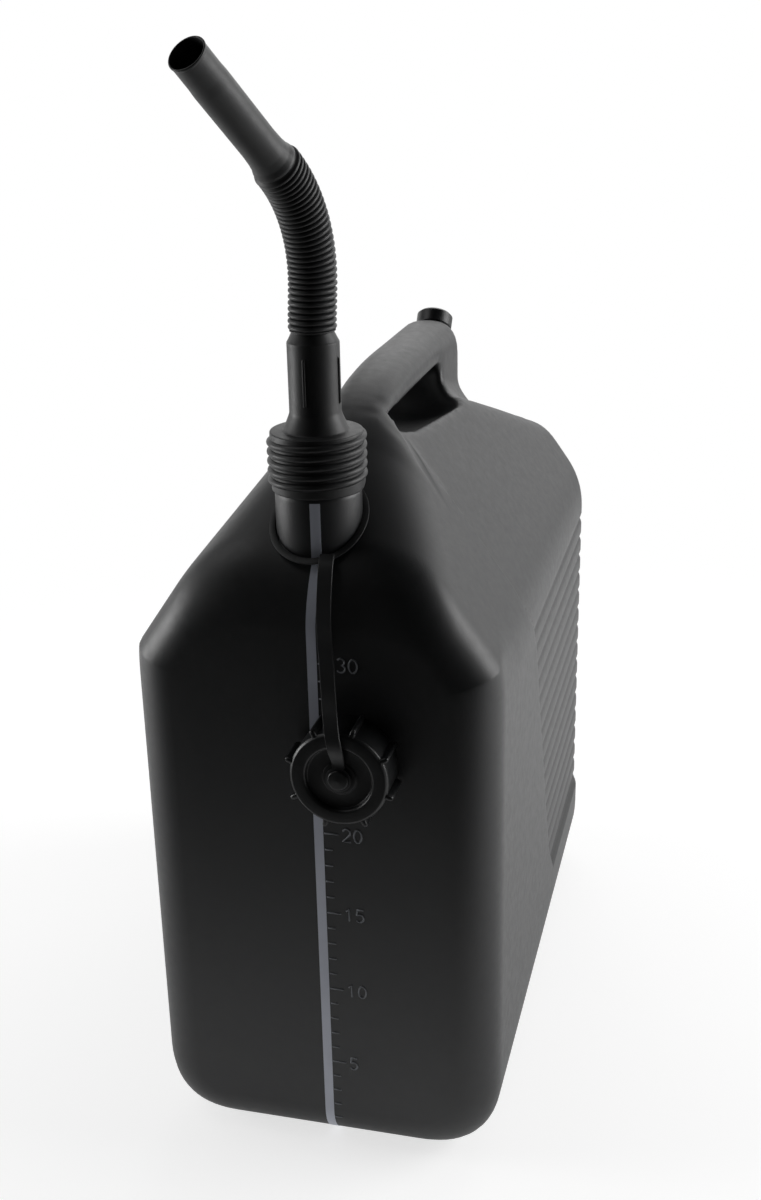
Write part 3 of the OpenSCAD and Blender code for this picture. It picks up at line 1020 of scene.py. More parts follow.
@dataclass
class FrontMarks:
    """Level stripe up the front, and the raised litre ticks and numbers beside it."""

    shell: CanShell
    stripe_x: float = 4.9
    stripe_width: float = 5.8
    stripe_lift: float = 0.12
    stripe_sink: float = 0.6
    tick_x: float = 8.3
    tick_short: float = 5
    tick_long: float = 9
    tick_height: float = 1.1
    tick_lift: float = 0.7
    first: float = 11.6
    pitch: float = 11.08
    litres: int = 30
    digit_height: float = 8.6
    digit_width: float = 5.3
    stroke: float = 0.6

    def surface(self, steps: int = 28) -> np.ndarray:
        """Give the front's outline from under the base to the shoulder.

        Args:
            steps: Points on the rounding of the base and of the shoulder's edge.

        Returns:
            Points (y, z) in the can's middle plane, moved out by the stripe's lift.
        """
        half, r = self.shell.depth / 2, self.shell.end_round
        low = []
        for a in np.linspace(0.05, math.pi / 2, steps):
            low.append((-half + r - r * math.sin(a), r - r * math.cos(a)))
        wall = [(-half, z) for z in np.linspace(r + 6, self.shell.shoulder_height - r - 6, 40)]
        high = []
        over_edge = -half + r * (1 - np.sin(np.linspace(math.pi / 2, 0, steps)))
        for y in np.concatenate([over_edge, np.linspace(-184, -160, 10)]):
            high.append((y, self.shell.crest_at(y) - self.shell.inset_at(y)))
        line = np.array(low + wall + high)
        along = np.gradient(line, axis=0)
        normal = np.column_stack([-along[:, 1], along[:, 0]])
        normal /= np.linalg.norm(normal, axis=1)[:, None]
        return line + normal * self.stripe_lift

    def wall_y(self, z: float) -> float:
        """Give the front surface's y, below the shoulder.

        Args:
            z: The height.

        Returns:
            The place along the can.
        """
        r = self.shell.end_round
        e = 0.0 if z >= r else r - math.sqrt(max(0.0, r * r - (r - z) ** 2))
        return -self.shell.depth / 2 + e

    def stripe(self, material: bpy.types.Material) -> bpy.types.Object:
        """Make the stripe that shows the level.

        Args:
            material: Finish of the undyed plastic.

        Returns:
            The stripe, from the base to a point on the shoulder.
        """
        line = self.surface()
        line = line[line[:, 0] < -176]
        along = np.gradient(line, axis=0)
        inward = np.column_stack([along[:, 1], -along[:, 0]])
        inward /= np.linalg.norm(inward, axis=1)[:, None]
        points = []
        for k, (y, z) in enumerate(line):
            left = len(line) - 1 - k
            half = self.stripe_width / 2 * min(1.0, 0.12 + left / 7)
            points += [(self.stripe_x + s * half, y, z) for s in (-1, -0.5, 0, 0.5, 1)]
            sunk_y, sunk_z = (y + self.stripe_sink * d for d, y in zip(inward[k], (y, z)))
            points += [(self.stripe_x + s * half, sunk_y, sunk_z) for s in (1, -1)]
        return make_object("level_stripe", points, closed_loft(len(line), 7), material)

    def neck_stripe(self, material: bpy.types.Material) -> bpy.types.Object:
        """Make the same stripe where it runs on up the neck.

        Args:
            material: Finish of the undyed plastic.

        Returns:
            The stripe between the strap's ring and the collar.
        """
        neck = Neck()
        r = neck.radius + self.stripe_lift
        points = []
        for z in np.linspace(neck.seat - 16, neck.shoulder_z - 2, 6):
            for s, sunk in ((-1, 0), (-0.5, 0), (0, 0), (0.5, 0), (1, 0), (1, 1), (-1, 1)):
                x = self.stripe_x + s * self.stripe_width / 2
                y = neck.y - math.sqrt(r * r - x * x) + sunk * self.stripe_sink
                points.append((x, y, z))
        return make_object("neck_stripe", points, closed_loft(6, 7), material)

    def ridge(self, x0: float, x1: float, z: float) -> tuple[list, list]:
        """Give one raised tick.

        Args:
            x0: Left end.
            x1: Right end.
            z: Height of its middle.

        Returns:
            Points and faces.
        """
        rounds = [(-0.5, 0.0), (-0.36, 0.75), (-0.12, 1.0), (0.12, 1.0), (0.36, 0.75), (0.5, 0.0)]
        rings = []
        for x, s in ((x0, 0.3), (x0 + 0.5, 1.0), (x1 - 0.5, 1.0), (x1, 0.3)):
            rings.append(
                [
                    (x, self.wall_y(z) + 0.15 - s * self.tick_lift * q, z + p * self.tick_height)
                    for p, q in rounds
                ]
            )
        points = [p for ring in rings for p in ring]
        return points, closed_loft(4, 6)

    def ticks(self, material: bpy.types.Material) -> bpy.types.Object:
        """Make the ticks of the litre scale.

        Args:
            material: Finish of the raised marks.

        Returns:
            All ticks as one piece.
        """
        ridges = []
        for n in range(1, self.litres + 1):
            length = self.tick_long if n % 5 == 0 else self.tick_short
            z = self.first + self.pitch * n
            ridges.append(self.ridge(self.tick_x, self.tick_x + length, z))
        points, faces = joined(*ridges)
        return make_object("litre_ticks", points, faces, material, 70)

    def numbers(self, material: bpy.types.Material) -> bpy.types.Object:
        """Make the numbers of the litre scale from round strokes.

        Args:
            material: Finish of the raised marks.

        Returns:
            All numbers as one mesh.
        """

        def arc(cx: float, cz: float, rx: float, rz: float, a: float, b: float) -> list:
            """Points on part of an ellipse, in shares of the digit's box."""
            turns = np.radians(np.linspace(a, b, 12))
            return [(cx + rx * math.cos(t), cz + rz * math.sin(t)) for t in turns]

        strokes = {
            "0": [arc(0.5, 0.5, 0.46, 0.5, 90, 450)],
            "1": [[(0.15, 0.76), (0.52, 1.0), (0.52, 0.0)]],
            "2": [[*arc(0.5, 0.7, 0.43, 0.3, 160, -30), (0.04, 0.0), (0.96, 0.0)]],
            "3": [arc(0.46, 0.75, 0.4, 0.25, 150, -80), arc(0.46, 0.26, 0.46, 0.26, 80, -150)],
            "5": [[(0.9, 1.0), (0.16, 1.0), (0.1, 0.55), *arc(0.46, 0.32, 0.46, 0.32, 125, -145)]],
        }
        parts = []
        for n in range(5, self.litres + 1, 5):
            x = self.tick_x + self.tick_long + 2.4
            z = self.first + self.pitch * n - self.digit_height / 2
            for digit in str(n):
                for line in strokes[digit]:
                    spots = [
                        (x + u * self.digit_width, z + v * self.digit_height) for u, v in line
                    ]
                    parts.append(self.bead(spots))
                x += self.digit_width + 1.6
        points, faces = joined(*parts)
        return make_object("litre_numbers", points, faces, material, 80)

    def bead(self, spots: list[tuple[float, float]]) -> tuple[list, list]:
        """Sweep a half-round bead along a line on the front wall.

        Args:
            spots: Points (x, z) of the line.

        Returns:
            Points and faces.
        """
        line = np.array(spots)
        along = np.gradient(line, axis=0)
        along /= np.maximum(1e-6, np.linalg.norm(along, axis=1))[:, None]
        points = []
        for (x, z), (dx, dz) in zip(line, along):
            for a in np.radians([180, 135, 90, 45, 0]):
                side = math.cos(a) * self.stroke
                lift = math.sin(a) * self.tick_lift
                points.append((x - dz * side, self.wall_y(z) + 0.12 - lift, z + dx * side))
        return points, closed_loft(len(line), 5)

    def build(self, highlit_marks: bpy.types.Material, clear: bpy.types.Material) -> list[bpy.types.Object]:
        """Make all marks of the front.

        Args:
            highlit_marks: Finish of the raised marks, painted pale as their highlight.
            clear: Finish of the undyed stripe.

        Returns:
            The stripe, the ticks and the numbers.
        """
        return [self.stripe(clear), self.neck_stripe(clear), self.ticks(highlit_marks), self.numbers(highlit_marks)]


# ---------------------------------------------------------------- spout


@dataclass
class Spout:
    """Screw collar with its cone and barrel, the folded bellows and the pouring tube."""

    y: float = NECK_Y
    collar_bottom: float = 436.66
    collar_height: float = 34.2
    collar_radius: float = 28.8
    ridge: float = 2.0
    pitch: float = 5.5
    gap: float = RUN_GAP
    wall: float = 1.8
    hose_wall: float = 1.4
    stub_wall: float = 1.6
    barrel_radius: float = 14.9
    barrel_height: float = 50.8
    cone_height: float = 9.8
    cone_foot: float = 19
    taper: float = 5.4
    bellows_radius: float = 13.7
    fold_depth: float = 1.8
    fold_pitch: float = 3.3
    straight: float = 24
    bend_radius: float = 86
    bend_angle: float = 48.4
    heading: float = -21
    lean: float = 3
    stub: float = 6
    tube_radius: float = 10.4
    tube_length: float = 83
    tip_step: float = 0.4
    tip_length: float = 19

    @property
    def collar_top(self) -> float:
        """Height of the collar's top."""
        return self.collar_bottom + self.collar_height

    @property
    def bellows_z(self) -> float:
        """Height of the foot of the bellows."""
        return self.collar_top + self.barrel_height + self.taper

    @property
    def root(self) -> float:
        """Radius at the bottom of the folds."""
        return self.bellows_radius - self.fold_depth

    @property
    def bend_length(self) -> float:
        """Length of the bent stretch of the bellows."""
        return self.bend_radius * math.radians(self.bend_angle)

    @property
    def length(self) -> float:
        """Whole length of the bellows."""
        return self.straight + self.bend_length + self.stub

    def directions(self, s: float) -> tuple[Vector, Vector, float]:
        """Give the directions across the bellows.

        Args:
            s: Distance above their foot.

        Returns:
            The sideways direction, the one out of the bend, and the angle bent so far.
        """
        h = math.radians(self.heading)
        ahead = Vector((math.sin(h), -math.cos(h), 0))
        across = Vector((math.cos(h), math.sin(h), 0))
        a = max(0.0, min(math.radians(self.bend_angle), (s - self.straight) / self.bend_radius))
        return across, ahead * math.cos(a) - Vector((0, 0, 1)) * math.sin(a), a

    def middle(self, s: float) -> Vector:
        """Give the middle line of the bellows.

        Args:
            s: Distance above their foot.

        Returns:
            The point, with the slight sideways lean of the whole spout.
        """
        h = math.radians(self.heading)
        ahead = Vector((math.sin(h), -math.cos(h), 0))
        up = Vector((0, 0, 1))

        def rise(t: float) -> Vector:
            """Give the middle line before it leans.

            Args:
                t: Distance above the foot.

            Returns:
                The point, from the foot.
            """
            if t <= self.straight:
                return up * t
            a = self.directions(t)[2]
            spare = max(0.0, t - self.straight - self.bend_length)
            bent = ahead * self.bend_radius * (1 - math.cos(a)) + up * self.bend_radius * math.sin(a)
            return up * self.straight + bent + (ahead * math.sin(a) + up * math.cos(a)) * spare

        p = rise(s)
        top = rise(self.straight + self.bend_length).z
        leaning = max(0.0, min(top, p.z) - self.stub)
        return Vector((0, self.y, self.bellows_z)) + p + Vector(
            (leaning * math.tan(math.radians(self.lean)), 0, 0)
        )

    def tube_place(self) -> Matrix:
        """Give the frame of the tube.

        Returns:
            The matrix, with the tube's axis along Z from the end of the bellows.
        """
        turn = Matrix.Rotation(math.radians(self.heading), 4, "Z")
        tilt = Matrix.Rotation(math.radians(self.bend_angle), 4, "X")
        return Matrix.Translation(self.middle(self.length)) @ turn @ tilt

    def collar(self, material: bpy.types.Material) -> bpy.types.Object:
        """Make the collar with its screw ridges, the cone and the ribbed barrel.

        Args:
            material: Finish of the moulded plastic.

        Returns:
            The lower piece of the spout.
        """
        low, top = self.collar_bottom, self.collar_top
        core = self.collar_radius - self.ridge
        bore = core - self.wall
        barrel_top = top + self.barrel_height
        stub_r = self.root - self.hose_wall - self.gap
        profile = [
            (bore, low),
            (core, low),
            (core, top - 0.4),
            (core - 0.6, top),
            (self.cone_foot, top),
            (self.barrel_radius + 0.6, top + self.cone_height - 1.2),
            (self.barrel_radius, top + self.cone_height + 0.6),
            (self.barrel_radius, barrel_top - 0.4),
            (self.barrel_radius - 0.5, barrel_top + 0.2),
            (self.root, self.bellows_z - 0.2),
            (self.root, self.bellows_z),
            (stub_r, self.bellows_z),
            (stub_r, self.bellows_z + self.stub),
            (stub_r - self.stub_wall, self.bellows_z + self.stub),
            (stub_r - self.stub_wall, self.bellows_z - 2),
            (self.barrel_radius - self.wall, barrel_top - 3),
            (self.barrel_radius - self.wall, top + self.cone_height),
            (self.cone_foot - self.wall, top),
            (self.cone_foot - self.wall, top - 2),
            (bore, top - 2),
        ]
        parts = [lathe(eased_profile(profile, 0.9), 128), self.screw(core)]
        for k in range(4):
            parts.append(self.barrel_rib(math.radians(-6 + 90 * k)))
        points, faces = joined(*parts)
        place = Matrix.Translation((0, self.y, 0))
        return make_object("spout_collar", placed(points, place), faces, material, 50)

    def screw(self, core: float) -> tuple[list, list]:
        """Sweep the rounded screw ridge around the collar.

        Args:
            core: Radius under the ridge.

        Returns:
            Points and faces.
        """
        steps, turns = 96, 5.25
        shape = [(-0.44, -0.6), (-0.36, 0.1), (-0.24, 0.62), (-0.1, 0.93), (0.06, 1.0)]
        shape += [(0.2, 0.9), (0.33, 0.55), (0.41, 0.1), (0.47, -0.6)]
        points = []
        total = int(steps * turns)
        for i in range(total + 1):
            a = 2 * math.pi * i / steps
            fade = min(1.0, i / 14, (total - i) / 14)
            z = self.collar_bottom + self.pitch / 2 + i * self.pitch / steps
            for u, v in shape:
                r = core + self.ridge * (v * fade if v > 0 else v)
                points.append((r * math.cos(a), r * math.sin(a), z + u * self.pitch))
        return points, closed_loft(total + 1, len(shape))

    def barrel_rib(self, turn: float) -> tuple[list, list]:
        """Give one upright rib of the barrel.

        Args:
            turn: Direction of the rib, from the front.

        Returns:
            Points and faces.
        """
        low = self.collar_top + self.cone_height + 6
        high = low + self.barrel_height - self.cone_height - 14
        shape = [(-0.95, -0.3), (-0.75, 0.6), (-0.5, 0.95), (0.5, 0.95), (0.75, 0.6), (0.95, -0.3)]
        points = []
        for z, s in ((low, 0.0), (low + 1.2, 1.0), (high - 1.2, 1.0), (high, 0.0)):
            for x, lift in shape:
                y = -(self.barrel_radius + (lift if lift < 0 else lift * s))
                points.append(
                    (x * math.cos(turn) - y * math.sin(turn), x * math.sin(turn) + y * math.cos(turn), z)
                )
        return points, closed_loft(4, 6)

    def bellows(self, material: bpy.types.Material) -> bpy.types.Object:
        """Sweep the folded hose along its bend.

        Args:
            material: Finish of the soft plastic.

        Returns:
            The bellows, not yet tied to a body.
        """
        cuff = 1.0
        folds = int((self.length - 2 * cuff) / self.fold_pitch)
        step = (self.length - 2 * cuff) / folds
        around, rows = 72, 10
        crest = self.bellows_radius
        line = [(0.0, crest - 1.2), (0.3, crest - 0.7), (cuff, crest - 0.7)]
        for k in range(folds):
            for j in range(rows):
                u = j / rows
                # Narrow valleys between rounded crests, as thin blown folds have.
                wave = 1 - abs(2 * u - 1) ** 2.6
                line.append((cuff + step * (k + u), self.root + self.fold_depth * wave))
        line += [(self.length - 0.6, self.root), (self.length, self.root)]
        inner = self.root - self.hose_wall
        line += [(self.length, inner)]
        line += [(s, inner) for s in np.linspace(self.length - 1, 0.5, 30)] + [(0.0, inner)]
        points = []
        for s, r in line:
            across, lift, _ = self.directions(s)
            centre = self.middle(s)
            for i in range(around):
                t = 2 * math.pi * i / around
                points.append(tuple(centre + across * (r * math.cos(t)) + lift * (r * math.sin(t))))
        faces = loft_faces(len(line), around)
        last = (len(line) - 1) * around
        faces += [(last + i, last + (i + 1) % around, (i + 1) % around, i) for i in range(around)]
        return make_object("bellows", points, faces, material, 60)

    def tube(self, material: bpy.types.Material) -> bpy.types.Object:
        """Make the pouring tube with its slightly thinner end.

        Args:
            material: Finish of the moulded plastic.

        Returns:
            The tube.
        """
        stub_r = self.root - self.hose_wall - self.gap
        bore = stub_r - self.stub_wall
        step_z = self.tube_length - self.tip_length
        tip = self.tube_radius - self.tip_step
        profile = [
            (bore, -self.stub),
            (stub_r, -self.stub),
            (stub_r, 0),
            (self.root + 0.6, 0),
            (self.root + 0.5, 1.6),
            (self.root - 0.5, 4.5),
            (self.tube_radius + 0.35, 9),
            (self.tube_radius, 16),
            (self.tube_radius, step_z - 2.5),
            (tip + 0.1, step_z + 2.5),
            (tip, self.tube_length - 1.6),
            (tip + 0.4, self.tube_length - 1.2),
            (tip + 0.4, self.tube_length - 0.3),
            (tip, self.tube_length),
            (bore + 0.9, self.tube_length),
            (bore, self.tube_length - 4),
        ]
        points, faces = lathe(eased_profile(profile, 0.5), 96)
        return make_object("pouring_tube", placed(points, self.tube_place()), faces, material, 50)


# ---------------------------------------------------------------- caps and strap


@dataclass
class HangingCap:
    """Filler cap that hangs from its strap in front of the can, with its seal."""

    x: float = CAP_X
    back_y: float = -215.85
    z: float = CAP_Z
    radius: float = 29.3
    depth: float = 25.4
    wall: float = 2.4
    lugs: int = 8
    lug_height: float = 4
    lug_width: float = 3
    lug_turn: float = 28
    recess: float = 3.4
    recess_radius: float = 19.8
    boss_radius: float = 9.8
    boss_rise: float = 1
    stud_radius: float = 4.4
    head_radius: float = 6.3
    strap_thickness: float = 1.5
    gap: float = RUN_GAP

    def place(self) -> Matrix:
        """Give the cap's frame, with Z out of its closed face."""
        return Matrix.Translation((self.x, self.back_y, self.z)) @ Matrix.Rotation(
            math.radians(90), 4, "X"
        )

    def lug(self, turn: float) -> tuple[list, list]:
        """Give one finger lug with softened edges.

        Args:
            turn: Its direction around the cap.

        Returns:
            Points and faces.
        """
        half, reach = self.lug_width / 2, self.lug_height
        shape = [(-1.0, -1.25 * half), (0.4, -1.1 * half), (reach - 1.0, -0.95 * half)]
        shape += [(reach - 0.2, -0.5 * half), (reach, 0.0), (reach - 0.2, 0.5 * half)]
        shape += [(reach - 1.0, 0.95 * half), (0.4, 1.1 * half), (-1.0, 1.25 * half)]
        points = []
        top = self.depth
        rings = [(2.0, 0.55), (2.6, 0.9), (3.6, 1.0)]
        rings += [(top - 2.4, 1.0), (top - 1.4, 0.92), (top - 0.9, 0.6)]
        for z, s in rings:
            for out, side in shape:
                r = self.radius + (out * s if out > 0 else out)
                points.append(
                    (
                        r * math.cos(turn) - side * s * math.sin(turn),
                        r * math.sin(turn) + side * s * math.cos(turn),
                        z,
                    )
                )
        return points, closed_loft(len(rings), len(shape))

    def build(self, material: bpy.types.Material) -> bpy.types.Object:
        """Make the cap.

        Args:
            material: Finish of the cap.

        Returns:
            The cap with its lugs, recess and stud.
        """
        r, top = self.radius, self.depth
        floor = top - self.recess
        boss = floor + self.boss_rise
        stud = boss + self.strap_thickness + 2 * self.gap
        profile = [
            (r - self.wall, 0),
            (r - 0.3, 0),
            (r, 0.8),
            (r, top - 1.8),
            (r - 1.6, top),
            (self.recess_radius + 1, top),
            (self.recess_radius, top - 1),
            (self.recess_radius - 0.6, floor),
            (self.boss_radius + 0.5, floor),
            (self.boss_radius, boss),
            (self.boss_radius - 3.4, boss),
            (self.stud_radius, boss - 0.1),
            (self.stud_radius, stud),
            (self.head_radius, stud),
            (self.head_radius - 0.5, stud + 1.3),
            (0, stud + 1.8),
            (0, floor - self.wall),
            (r - self.wall, floor - self.wall),
        ]
        parts = [lathe(eased_profile(profile, 0.7), 128)]
        for k in range(self.lugs):
            parts.append(self.lug(math.radians(self.lug_turn + 360 / self.lugs * k)))
        points, faces = joined(*parts)
        return make_object("hanging_cap", placed(points, self.place()), faces, material, 50)


@dataclass
class Strap:
    """Strap with a ring around the neck and an eye around the cap's stud."""

    neck_y: float = NECK_Y
    seat: float = SEAT_Z
    tilt: float = 32
    ring_radius: float = 25.6
    ring_width: float = 3.65
    width: float = 8.8
    thickness: float = 1.5
    cap_x: float = CAP_X
    cap_z: float = CAP_Z
    start_x: float = 11
    front_y: float = -215.5
    face_y: float = -241.25
    lift: float = RUN_GAP
    eye_y: float = -239.94
    eye_radius: float = 7.6
    stud_radius: float = 4.75

    def ring(self) -> tuple[list, list]:
        """Give the ring that lies on the shoulder around the neck.

        Returns:
            Points and faces.
        """
        inner, outer = self.ring_radius, self.ring_radius + self.ring_width
        low, high = self.lift, self.lift + self.thickness
        profile = [(inner, low), (outer, low), (outer, high), (inner, high)]
        slope = Matrix.Translation((0, self.neck_y, self.seat)) @ Matrix.Rotation(
            math.radians(self.tilt), 4, "X"
        )
        stretch = Matrix.Scale(1 / math.cos(math.radians(self.tilt)), 4, Vector((0, 1, 0)))
        points, faces = lathe(eased_profile(profile, 0.5, 2), 96)
        return placed(points, slope @ stretch), faces

    def line(self) -> np.ndarray:
        """Give the middle line of the strap from the ring to the stud.

        Returns:
            Points about 2 mm apart on a smooth curve through the solid's own points.
        """
        front, face = self.front_y, self.face_y

        def x(t: float) -> float:
            """Sideways place at the share t of the way down."""
            return self.start_x + (self.cap_x - self.start_x) * t

        knots = np.array(
            [
                (x(0), self.neck_y - 23.5, self.seat - 13),
                (x(0.07), self.neck_y - 32, self.seat - 19.5),
                (x(0.15), front - 0.6, 376),
                (x(0.2), front - 3, 358),
                (x(0.29), front - 5.5, self.cap_z + 66),
                (x(0.48), front - 13, self.cap_z + 49),
                (x(0.72), front - 23, self.cap_z + 37),
                (x(0.88), face - 2.4, self.cap_z + 28),
                (x(0.97), face - 2.6, self.cap_z + 20),
                (self.cap_x, self.eye_y, self.cap_z + 11),
                (self.cap_x, self.eye_y, self.cap_z + 5),
            ]
        )
        smooth = []
        padded = np.vstack([2 * knots[0] - knots[1], knots, 2 * knots[-1] - knots[-2]])
        for a, b, c, d in zip(padded, padded[1:], padded[2:], padded[3:]):
            for t in np.linspace(0, 1, 9)[:-1]:
                square = (2 * a - 5 * b + 4 * c - d) * t**2
                cube = (3 * b - a - 3 * c + d) * t**3
                smooth.append(0.5 * (2 * b + (c - a) * t + square + cube))
        smooth.append(knots[-1])
        return np.array(smooth)

    def build(self, material: bpy.types.Material) -> bpy.types.Object:
        """Make the strap, the ring and the eye as one mesh.

        Args:
            material: Finish of the soft plastic.

        Returns:
            The strap, not yet tied to a body.
        """
        line = self.line()
        along = np.gradient(line, axis=0)
        along /= np.linalg.norm(along, axis=1)[:, None]
        out = np.cross(along, np.array([1.0, 0, 0]))
        out /= np.linalg.norm(out, axis=1)[:, None]
        half, thick = self.width / 2, self.thickness / 2
        shape = [(-1, -0.4), (-1, 0.4), (-0.93, 1), (-0.5, 1), (0, 1), (0.5, 1), (0.93, 1)]
        shape += [(1, 0.4), (1, -0.4), (0.93, -1), (0.5, -1), (0, -1), (-0.5, -1), (-0.93, -1)]
        points = []
        for k, (p, o) in enumerate(zip(line, out)):
            side = half * (1 - 0.2 * float(smoothstep((k / len(line) - 0.8) / 0.15)))
            points += [tuple(p + np.array([u * side, 0, 0]) + o * thick * v) for u, v in shape]
        faces = closed_loft(len(line), len(shape))
        eye_profile = [
            (self.stud_radius, 0),
            (self.eye_radius, 0),
            (self.eye_radius, self.thickness),
            (self.stud_radius, self.thickness),
        ]
        eye_points, eye_faces = lathe(eased_profile(eye_profile, 0.4, 2), 64)
        place = Matrix.Translation((self.cap_x, self.eye_y + thick, self.cap_z)) @ Matrix.Rotation(
            math.radians(90), 4, "X"
        )
        points, faces = joined((points, faces), (placed(eye_points, place), eye_faces), self.ring())
        return make_object("strap_band", points, faces, material, 50)


# ---------------------------------------------------------------- studio


@dataclass
class Studio:
    """Camera at the photograph's angle, a white sweep and large soft lights."""

    eye: tuple[float, float, float] = (0.2426, -0.9671, 0.6860)
    yaw: float = 0.2553
    pitch: float = 0.3686
    roll: float = -0.0222
    lens: float = 44.85
    table_glow: float = 0.4
    paper_glow: float = 0.7
    mat_edge: tuple[float, float] = (-0.66, -0.3)
    fade: tuple[float, float] = (0.35, 1.0)

    def camera(self) -> None:
        """Make the camera and hand it to the scene."""
        cy, sy = math.cos(self.yaw), math.sin(self.yaw)
        cp, sp = math.cos(self.pitch), math.sin(self.pitch)
        ahead = Vector((-sy * cp, cy * cp, -sp))
        right = Vector((cy, sy, 0))
        up = right.cross(ahead)
        cr, sr = math.cos(self.roll), math.sin(self.roll)
        side, head = right * cr + up * sr, up * cr - right * sr
        data = bpy.data.cameras.new("camera")
        data.lens = self.lens
        data.sensor_width = 36.0
        data.sensor_fit = "AUTO"
        data.clip_start = 0.05
        data.clip_end = 50.0
        obj = bpy.data.objects.new("camera", data)
        obj.matrix_world = Matrix(
            (
                (side.x, head.x, -ahead.x, self.eye[0]),
                (side.y, head.y, -ahead.y, self.eye[1]),
                (side.z, head.z, -ahead.z, self.eye[2]),
                (0, 0, 0, 1),
            )
        )
        bpy.context.scene.collection.objects.link(obj)
        bpy.context.scene.camera = obj

    def floor(self) -> bpy.types.Object:
        """Make the floor, white paper that turns into a dark mat well in front of the can."""
        material, tree, surface = node_material("paper_sweep")
        place = add_node(tree, "ShaderNodeTexCoord").outputs["Object"]
        spot = add_node(tree, "ShaderNodeSeparateXYZ", inputs={0: place})
        ray = add_node(tree, "ShaderNodeLightPath")
        # What the can mirrors: glowing paper behind it and a dark mat in front.
        mat = mapped(tree, spot.outputs["Y"], self.mat_edge, (0.03, 0.88))
        diffuse = add_node(tree, "ShaderNodeBsdfDiffuse", inputs={"Color": mat})
        table = multiplied(tree, mat, self.table_glow)
        under = add_node(tree, "ShaderNodeEmission", inputs={"Strength": table})
        lit = add_node(
            tree, "ShaderNodeAddShader", inputs={0: diffuse.outputs[0], 1: under.outputs[0]}
        )
        # What the camera sees: white paper with the can's soft shadow, plain white further out.
        paper = add_node(tree, "ShaderNodeBsdfDiffuse", inputs={"Color": linear("#c8c8c8")})
        bright = {"Color": linear("#ffffff")}
        glow = add_node(tree, "ShaderNodeEmission", inputs={**bright, "Strength": self.paper_glow})
        shown = add_node(
            tree, "ShaderNodeAddShader", inputs={0: paper.outputs[0], 1: glow.outputs[0]}
        )
        white = add_node(tree, "ShaderNodeEmission", inputs={**bright, "Strength": 1.0})
        reach = add_node(tree, "ShaderNodeVectorMath", {"operation": "LENGTH"}, {0: place})
        far = mapped(tree, reach.outputs["Value"], self.fade, curve="SMOOTHSTEP")
        near = add_node(
            tree, "ShaderNodeMixShader", inputs={0: far, 1: shown.outputs[0], 2: white.outputs[0]}
        )
        mix = add_node(
            tree,
            "ShaderNodeMixShader",
            inputs={0: ray.outputs["Is Camera Ray"], 1: lit.outputs[0], 2: near.outputs[0]},
        )
        tree.links.new(mix.outputs[0], surface)
        size = 6000.0
        points = [(-size, -size, -0.5), (size, -size, -0.5), (size, size, -0.5), (-size, size, -0.5)]
        floor = make_object("floor", points, [(0, 1, 2, 3)], material)
        return floor

    def lamp(
        self,
        name: str,
        place: tuple[float, float, float],
        aim: tuple[float, float, float],
        size: tuple[float, float],
        watts: float,
    ) -> None:
        """Hang one soft box.

        Args:
            name: Name of the lamp.
            place: Where it hangs, in metres.
            aim: The point it faces.
            size: Width and height of its face, in metres.
            watts: Its power.
        """
        data = bpy.data.lights.new(name, "AREA")
        data.shape = "RECTANGLE"
        data.size, data.size_y = size
        data.energy = watts
        obj = bpy.data.objects.new(name, data)
        obj.location = place
        obj.rotation_euler = (Vector(aim) - Vector(place)).to_track_quat("-Z", "Y").to_euler()
        bpy.context.scene.collection.objects.link(obj)

    def world(self) -> None:
        """Set the surroundings: a pale wall behind and beside the can, dark in front and above."""
        world = bpy.data.worlds.new("studio")
        world.use_nodes = True
        tree = world.node_tree
        tree.nodes.clear()
        ray = add_node(tree, "ShaderNodeLightPath")
        way = add_node(tree, "ShaderNodeTexCoord").outputs["Generated"]
        split = add_node(tree, "ShaderNodeSeparateXYZ", inputs={0: way})
        behind = mapped(tree, split.outputs["Y"], (-0.2, 0.7), (0.04, 1.1), "SMOOTHSTEP")
        low = mapped(tree, split.outputs["Z"], (0.2, 0.75), (1.0, 0.12), "SMOOTHSTEP")
        bright = {"Color": linear("#ffffff")}
        level = multiplied(tree, behind, low)
        soft = add_node(tree, "ShaderNodeBackground", inputs={**bright, "Strength": level})
        white = add_node(tree, "ShaderNodeBackground", inputs={**bright, "Strength": 1.0})
        mix = add_node(
            tree,
            "ShaderNodeMixShader",
            inputs={0: ray.outputs["Is Camera Ray"], 1: soft.outputs[0], 2: white.outputs[0]},
        )
        out = add_node(tree, "ShaderNodeOutputWorld")
        tree.links.new(mix.outputs[0], out.inputs["Surface"])
        bpy.context.scene.world = world

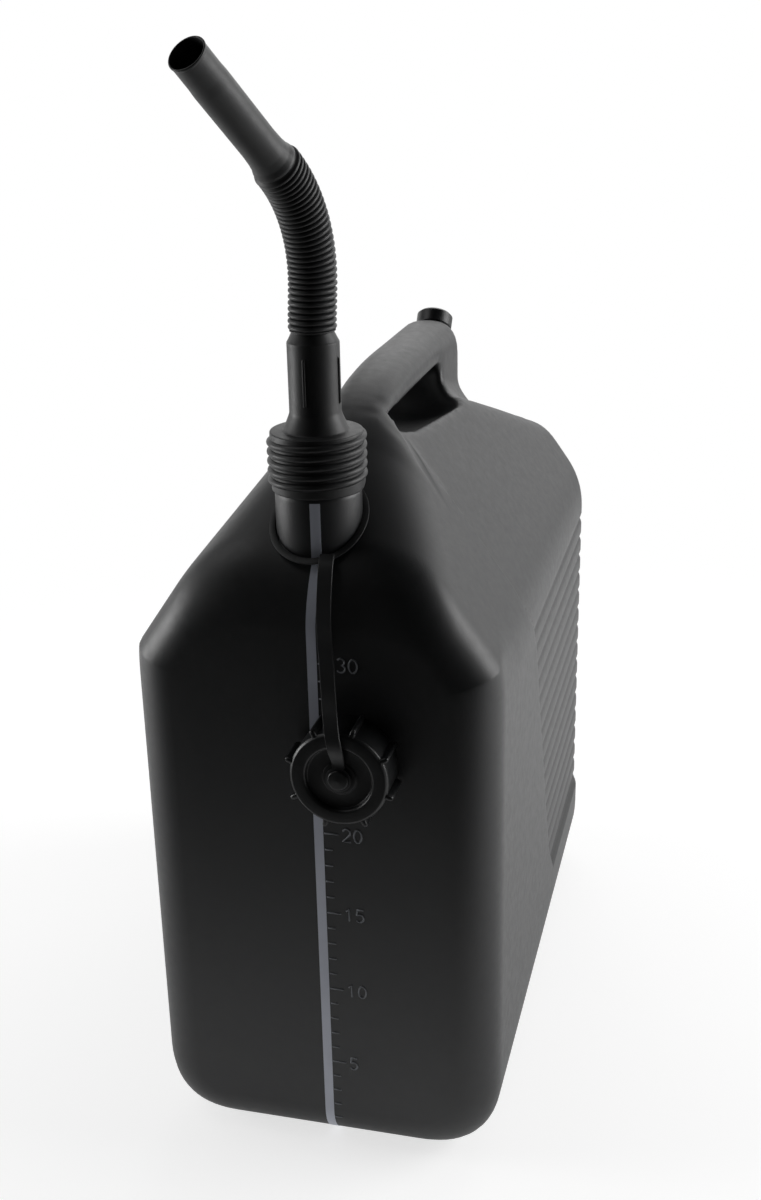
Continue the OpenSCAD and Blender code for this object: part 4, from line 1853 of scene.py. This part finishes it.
    def build(self) -> None:
        """Set up the whole studio."""
        bpy.context.scene.view_settings.view_transform = "Standard"
        self.camera()
        self.floor()
        self.world()
        self.lamp("back_box", (0.1, 1.6, 1.5), (0, 0.1, 0.3), (1.6, 1.0), 6)
        self.lamp("right_box", (2.0, 0.6, 0.9), (0.05, 0, 0.2), (1.3, 1.5), 30)
        self.lamp("left_box", (-1.9, -0.3, 0.45), (0, 0, 0.12), (0.9, 0.9), 17)
        self.lamp("left_top_box", (-1.2, -0.25, 1.9), (-0.3, -0.2, 0), (1.0, 1.0), 4)


# ---------------------------------------------------------------- all of it


def dress_node(name: str, material: bpy.types.Material) -> None:
    """Give a solid of the frame its finish.

    Args:
        name: Name of the node.
        material: Its finish.
    """
    materials = frame["nodes"][name].data.materials
    materials.clear()
    materials.append(material)


def main() -> None:
    """Build every piece in order, tie all but the bellows and the strap to their bodies, and log each
    piece's faces.
    """
    logging.basicConfig(level=logging.INFO, format="%(name)s: %(message)s")
    Studio().build()
    finish = {kind: kind.value.build() for kind in Finish}
    blown = finish[Finish.BLOWN_POLYETHYLENE]

    can = CanShell()
    shell = can.build(blown)
    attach(shell, "can")
    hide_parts("can_body")
    # The ticks and numbers get the pale finish, a painted highlight on the raised marks.
    for piece in Neck().build(blown) + FrontMarks(can).build(
        finish[Finish.RUBBED_POLYETHYLENE], finish[Finish.CLEAR_STRIPE]
    ):
        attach(piece, "can")

    spout = Spout()
    collar = spout.collar(finish[Finish.MOULDED_POLYPROPYLENE])
    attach(collar, "spout")
    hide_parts("spout_base")
    hose = spout.bellows(finish[Finish.SOFT_POLYETHYLENE])
    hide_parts("spout_bellows")
    start = spout.middle(spout.stub) * MM
    end = spout.middle(spout.length - spout.stub) * MM
    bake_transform(hose)
    tube = spout.tube(finish[Finish.MOULDED_POLYPROPYLENE])
    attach(tube, "spout_tip")
    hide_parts("spout_tube")

    strap = Strap().build(finish[Finish.SOFT_POLYETHYLENE])
    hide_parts("cap_strap")
    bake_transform(strap)
    cap = HangingCap().build(finish[Finish.CAP_POLYPROPYLENE])
    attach(cap, "cap")
    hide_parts("filler_cap")

    dress_node("vent_cap", finish[Finish.CAP_POLYPROPYLENE])
    for name in ("spout_seal", "cap_seal", "vent_seal"):
        dress_node(name, finish[Finish.NITRILE_RUBBER])

    for obj in bpy.context.scene.objects:
        if obj.type == "MESH" and not obj.hide_render:
            LOG.info("%s: %d faces", obj.name, len(obj.data.polygons))


if __name__ == "__main__":
    main()
